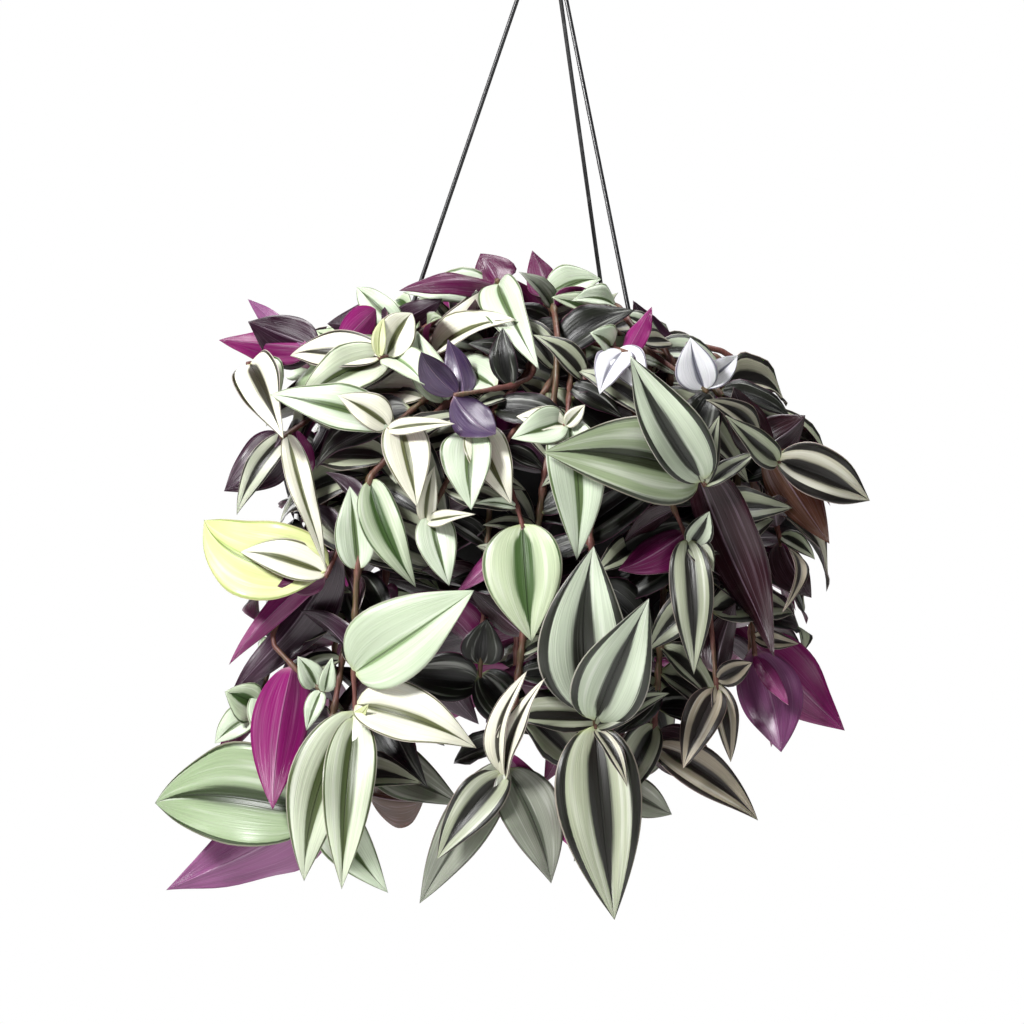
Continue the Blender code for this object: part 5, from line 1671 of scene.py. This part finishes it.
def bent(leaf, corners, chance):
    """Where the flat slab's corners lie on the leaf."""
    u, level, thick = corners[:, 0], (corners[:, 1] + 1) / 2, corners[:, 2]
    v = 0.55 * level + 0.45 * (0.5 - 0.5 * np.cos(np.pi * level))
    length = leaf.length()
    uneven = 1 + chance.uniform(-UNEVEN, UNEVEN) * np.sign(u)
    half = leaf.width / 2 * PLUMP * outline(v) * uneven
    away = np.sqrt(u**2 + CREASE) - math.sqrt(CREASE)
    steep = (1.3 - 0.6 * v) if leaf.width > BROAD_LEAF else (1.8 - v)
    fold = FOLD * steep * chance.uniform(*FOLD_CHANGES)
    pillow = PILLOW * np.sin(np.pi * np.abs(u)) * (1 - 0.5 * v)
    rise = leaf.arch * length * 4 * v * (1 - v)
    lift = half * (away * np.sin(fold) + pillow)
    if length < FOLDED_LENGTH:
        lift = lift - half * SUNK

    waves = chance.uniform(*WAVES)
    wave = np.zeros_like(v)
    for hand in (-1, 1):
        phase = chance.uniform(0, 2 * math.pi)
        swell = np.sin(2 * math.pi * waves * v + phase) * 4 * v * (1 - v)
        wave += np.where(u * hand > 0, np.abs(u) ** 2.2 * swell, 0)
    lift = lift + wave * length * chance.uniform(*WAVE_HEIGHTS)
    curl = chance.uniform(*CURLS) * length * np.clip((v - 0.7) / 0.3, 0, 1) ** 2
    bow = (leaf.sweep + chance.uniform(-BOW, BOW)) * length * 4 * v * (1 - v)
    twist = chance.uniform(-TWIST, TWIST) * (v - 0.25)

    side_way = u * half * np.cos(fold) + bow
    face_way = rise + lift - curl * np.sign(leaf.face.z)
    lean = side_way * np.sin(twist)
    side_way = side_way * np.cos(twist)
    slim = FINE_THICKNESS / 2 * (1 - (1 - EDGE_SHARE) * np.abs(u) ** 3)
    slim = slim * np.clip((1 - v) * 30, 0.0, 1)
    face_way = face_way + lean + thick * slim
    base, along = np.array(leaf.base), np.array(leaf.tip - leaf.base)
    return (base + np.outer(v, along) + np.outer(side_way, np.array(leaf.side))
            + np.outer(face_way, np.array(leaf.face)))


print("thickness of a leaf:", FINE_THICKNESS * 1000, "mm")

# %% [markdown]
# A bent leaf gets its colours as values at its corners, a little lighter or darker by chance. A
# leaf whose upper side shows has a purple underside, and one that is turned over is grey above.

# %% Dress a leaf


def dressed(grid, leaf, finish, chance):
    """A mesh of one bent leaf with its colours."""
    flat, corners = flat_leaves[grid]
    mesh = flat.copy()
    mesh.vertices.foreach_set("co", bent(leaf, corners, chance).ravel())
    above = finish if finish in UPPER_SIDES else "grey_striped"
    below = finish if finish in UNDERSIDES else chance.choice(list(UNDERSIDES)[:3])
    band, dark, lens, margin = UPPER_SIDES[above]
    shade = chance.uniform(0.90, 1.08)
    values = {
        "leaf_band": (*(part * shade for part in band[:3]), lens * chance.uniform(0.85, 1.15)),
        "leaf_dark": (*dark[:3], margin * chance.uniform(0.8, 1.2)),
        "leaf_under": (*(part * shade for part in UNDERSIDES[below][:3]), 1.0),
    }
    for name, value in values.items():
        mesh.attributes[name].data.foreach_set("color", np.tile(value, len(corners)))
    mesh.attributes["leaf_number"].data.foreach_set("value", np.full(len(corners), chance.random()))
    return mesh


# %% [markdown]
# A stem is drawn through its route with its corners cut round. It swells at each node, where a
# leaf's sheath wraps it, and thins towards the growing tip.

# %% Stems and vines
NODE_SWELL = 0.45
NODE_LENGTH = 0.0028
RING_STEP = 0.004
YOUNG_STEM = 0.62
STEM_GROWTH = 0.38
STEM_GROWN_AT = 0.05
FINE_STEM = 0.82


def fine_stem(route, backs):
    """The stem as a bmesh, with a swelling at each leaf's place."""
    line = [route[0]]
    for start, end in zip(route, route[1:]):
        count = math.ceil((end - start).length / RING_STEP)
        line += [start.lerp(end, k / count) for k in range(1, count + 1)]
    line = rounded(line, 1)
    passed = [0.0]
    for start, end in zip(line[::-1], line[-2::-1]):
        passed.append(passed[-1] + (end - start).length)
    radii = []
    for back in passed[::-1]:
        swell = max([math.exp(-(((back - place) / NODE_LENGTH) ** 2)) for place in backs], default=0)
        young = YOUNG_STEM + STEM_GROWTH * min(1, back / STEM_GROWN_AT)
        radii.append(STEM_RADIUS * FINE_STEM * young * (1 + NODE_SWELL * swell))
    return drawn(line, radii, 1)


def make_vine(name):
    """One vine's stem and leaves as a piece."""
    chance = random.Random(f"{name} leaves")
    bm = fine_stem(routes[name], [back for _, _, _, back in leaves[name]])
    for face in bm.faces:
        face.material_index = 0
    add_layers(bm)
    for leaf, finish, by_hand, _ in leaves[name]:
        grid = BY_HAND_GRID if by_hand else BY_RULE_GRID
        if leaf.length() < SHORTEST_LEAF:
            grid = SMALL_GRID
        mesh = dressed(grid, leaf, finish, chance)
        bm.from_mesh(mesh)
        bpy.data.meshes.remove(mesh)
    bmesh.ops.remove_doubles(bm, verts=bm.verts, dist=2e-6)
    mesh = mesh_of(bm, f"leafy_{name}", stem_finish, upper_side, underside)
    return keep(f"leafy_{name}", mesh, "striped_leaf", f"vine_{name}")


faces = 0
for name, _, _, _ in shoots:
    vine = make_vine(name)
    vine.data.calc_loop_triangles()
    faces += len(vine.data.loop_triangles)
print("vines:", len(shoots), "triangles:", faces)
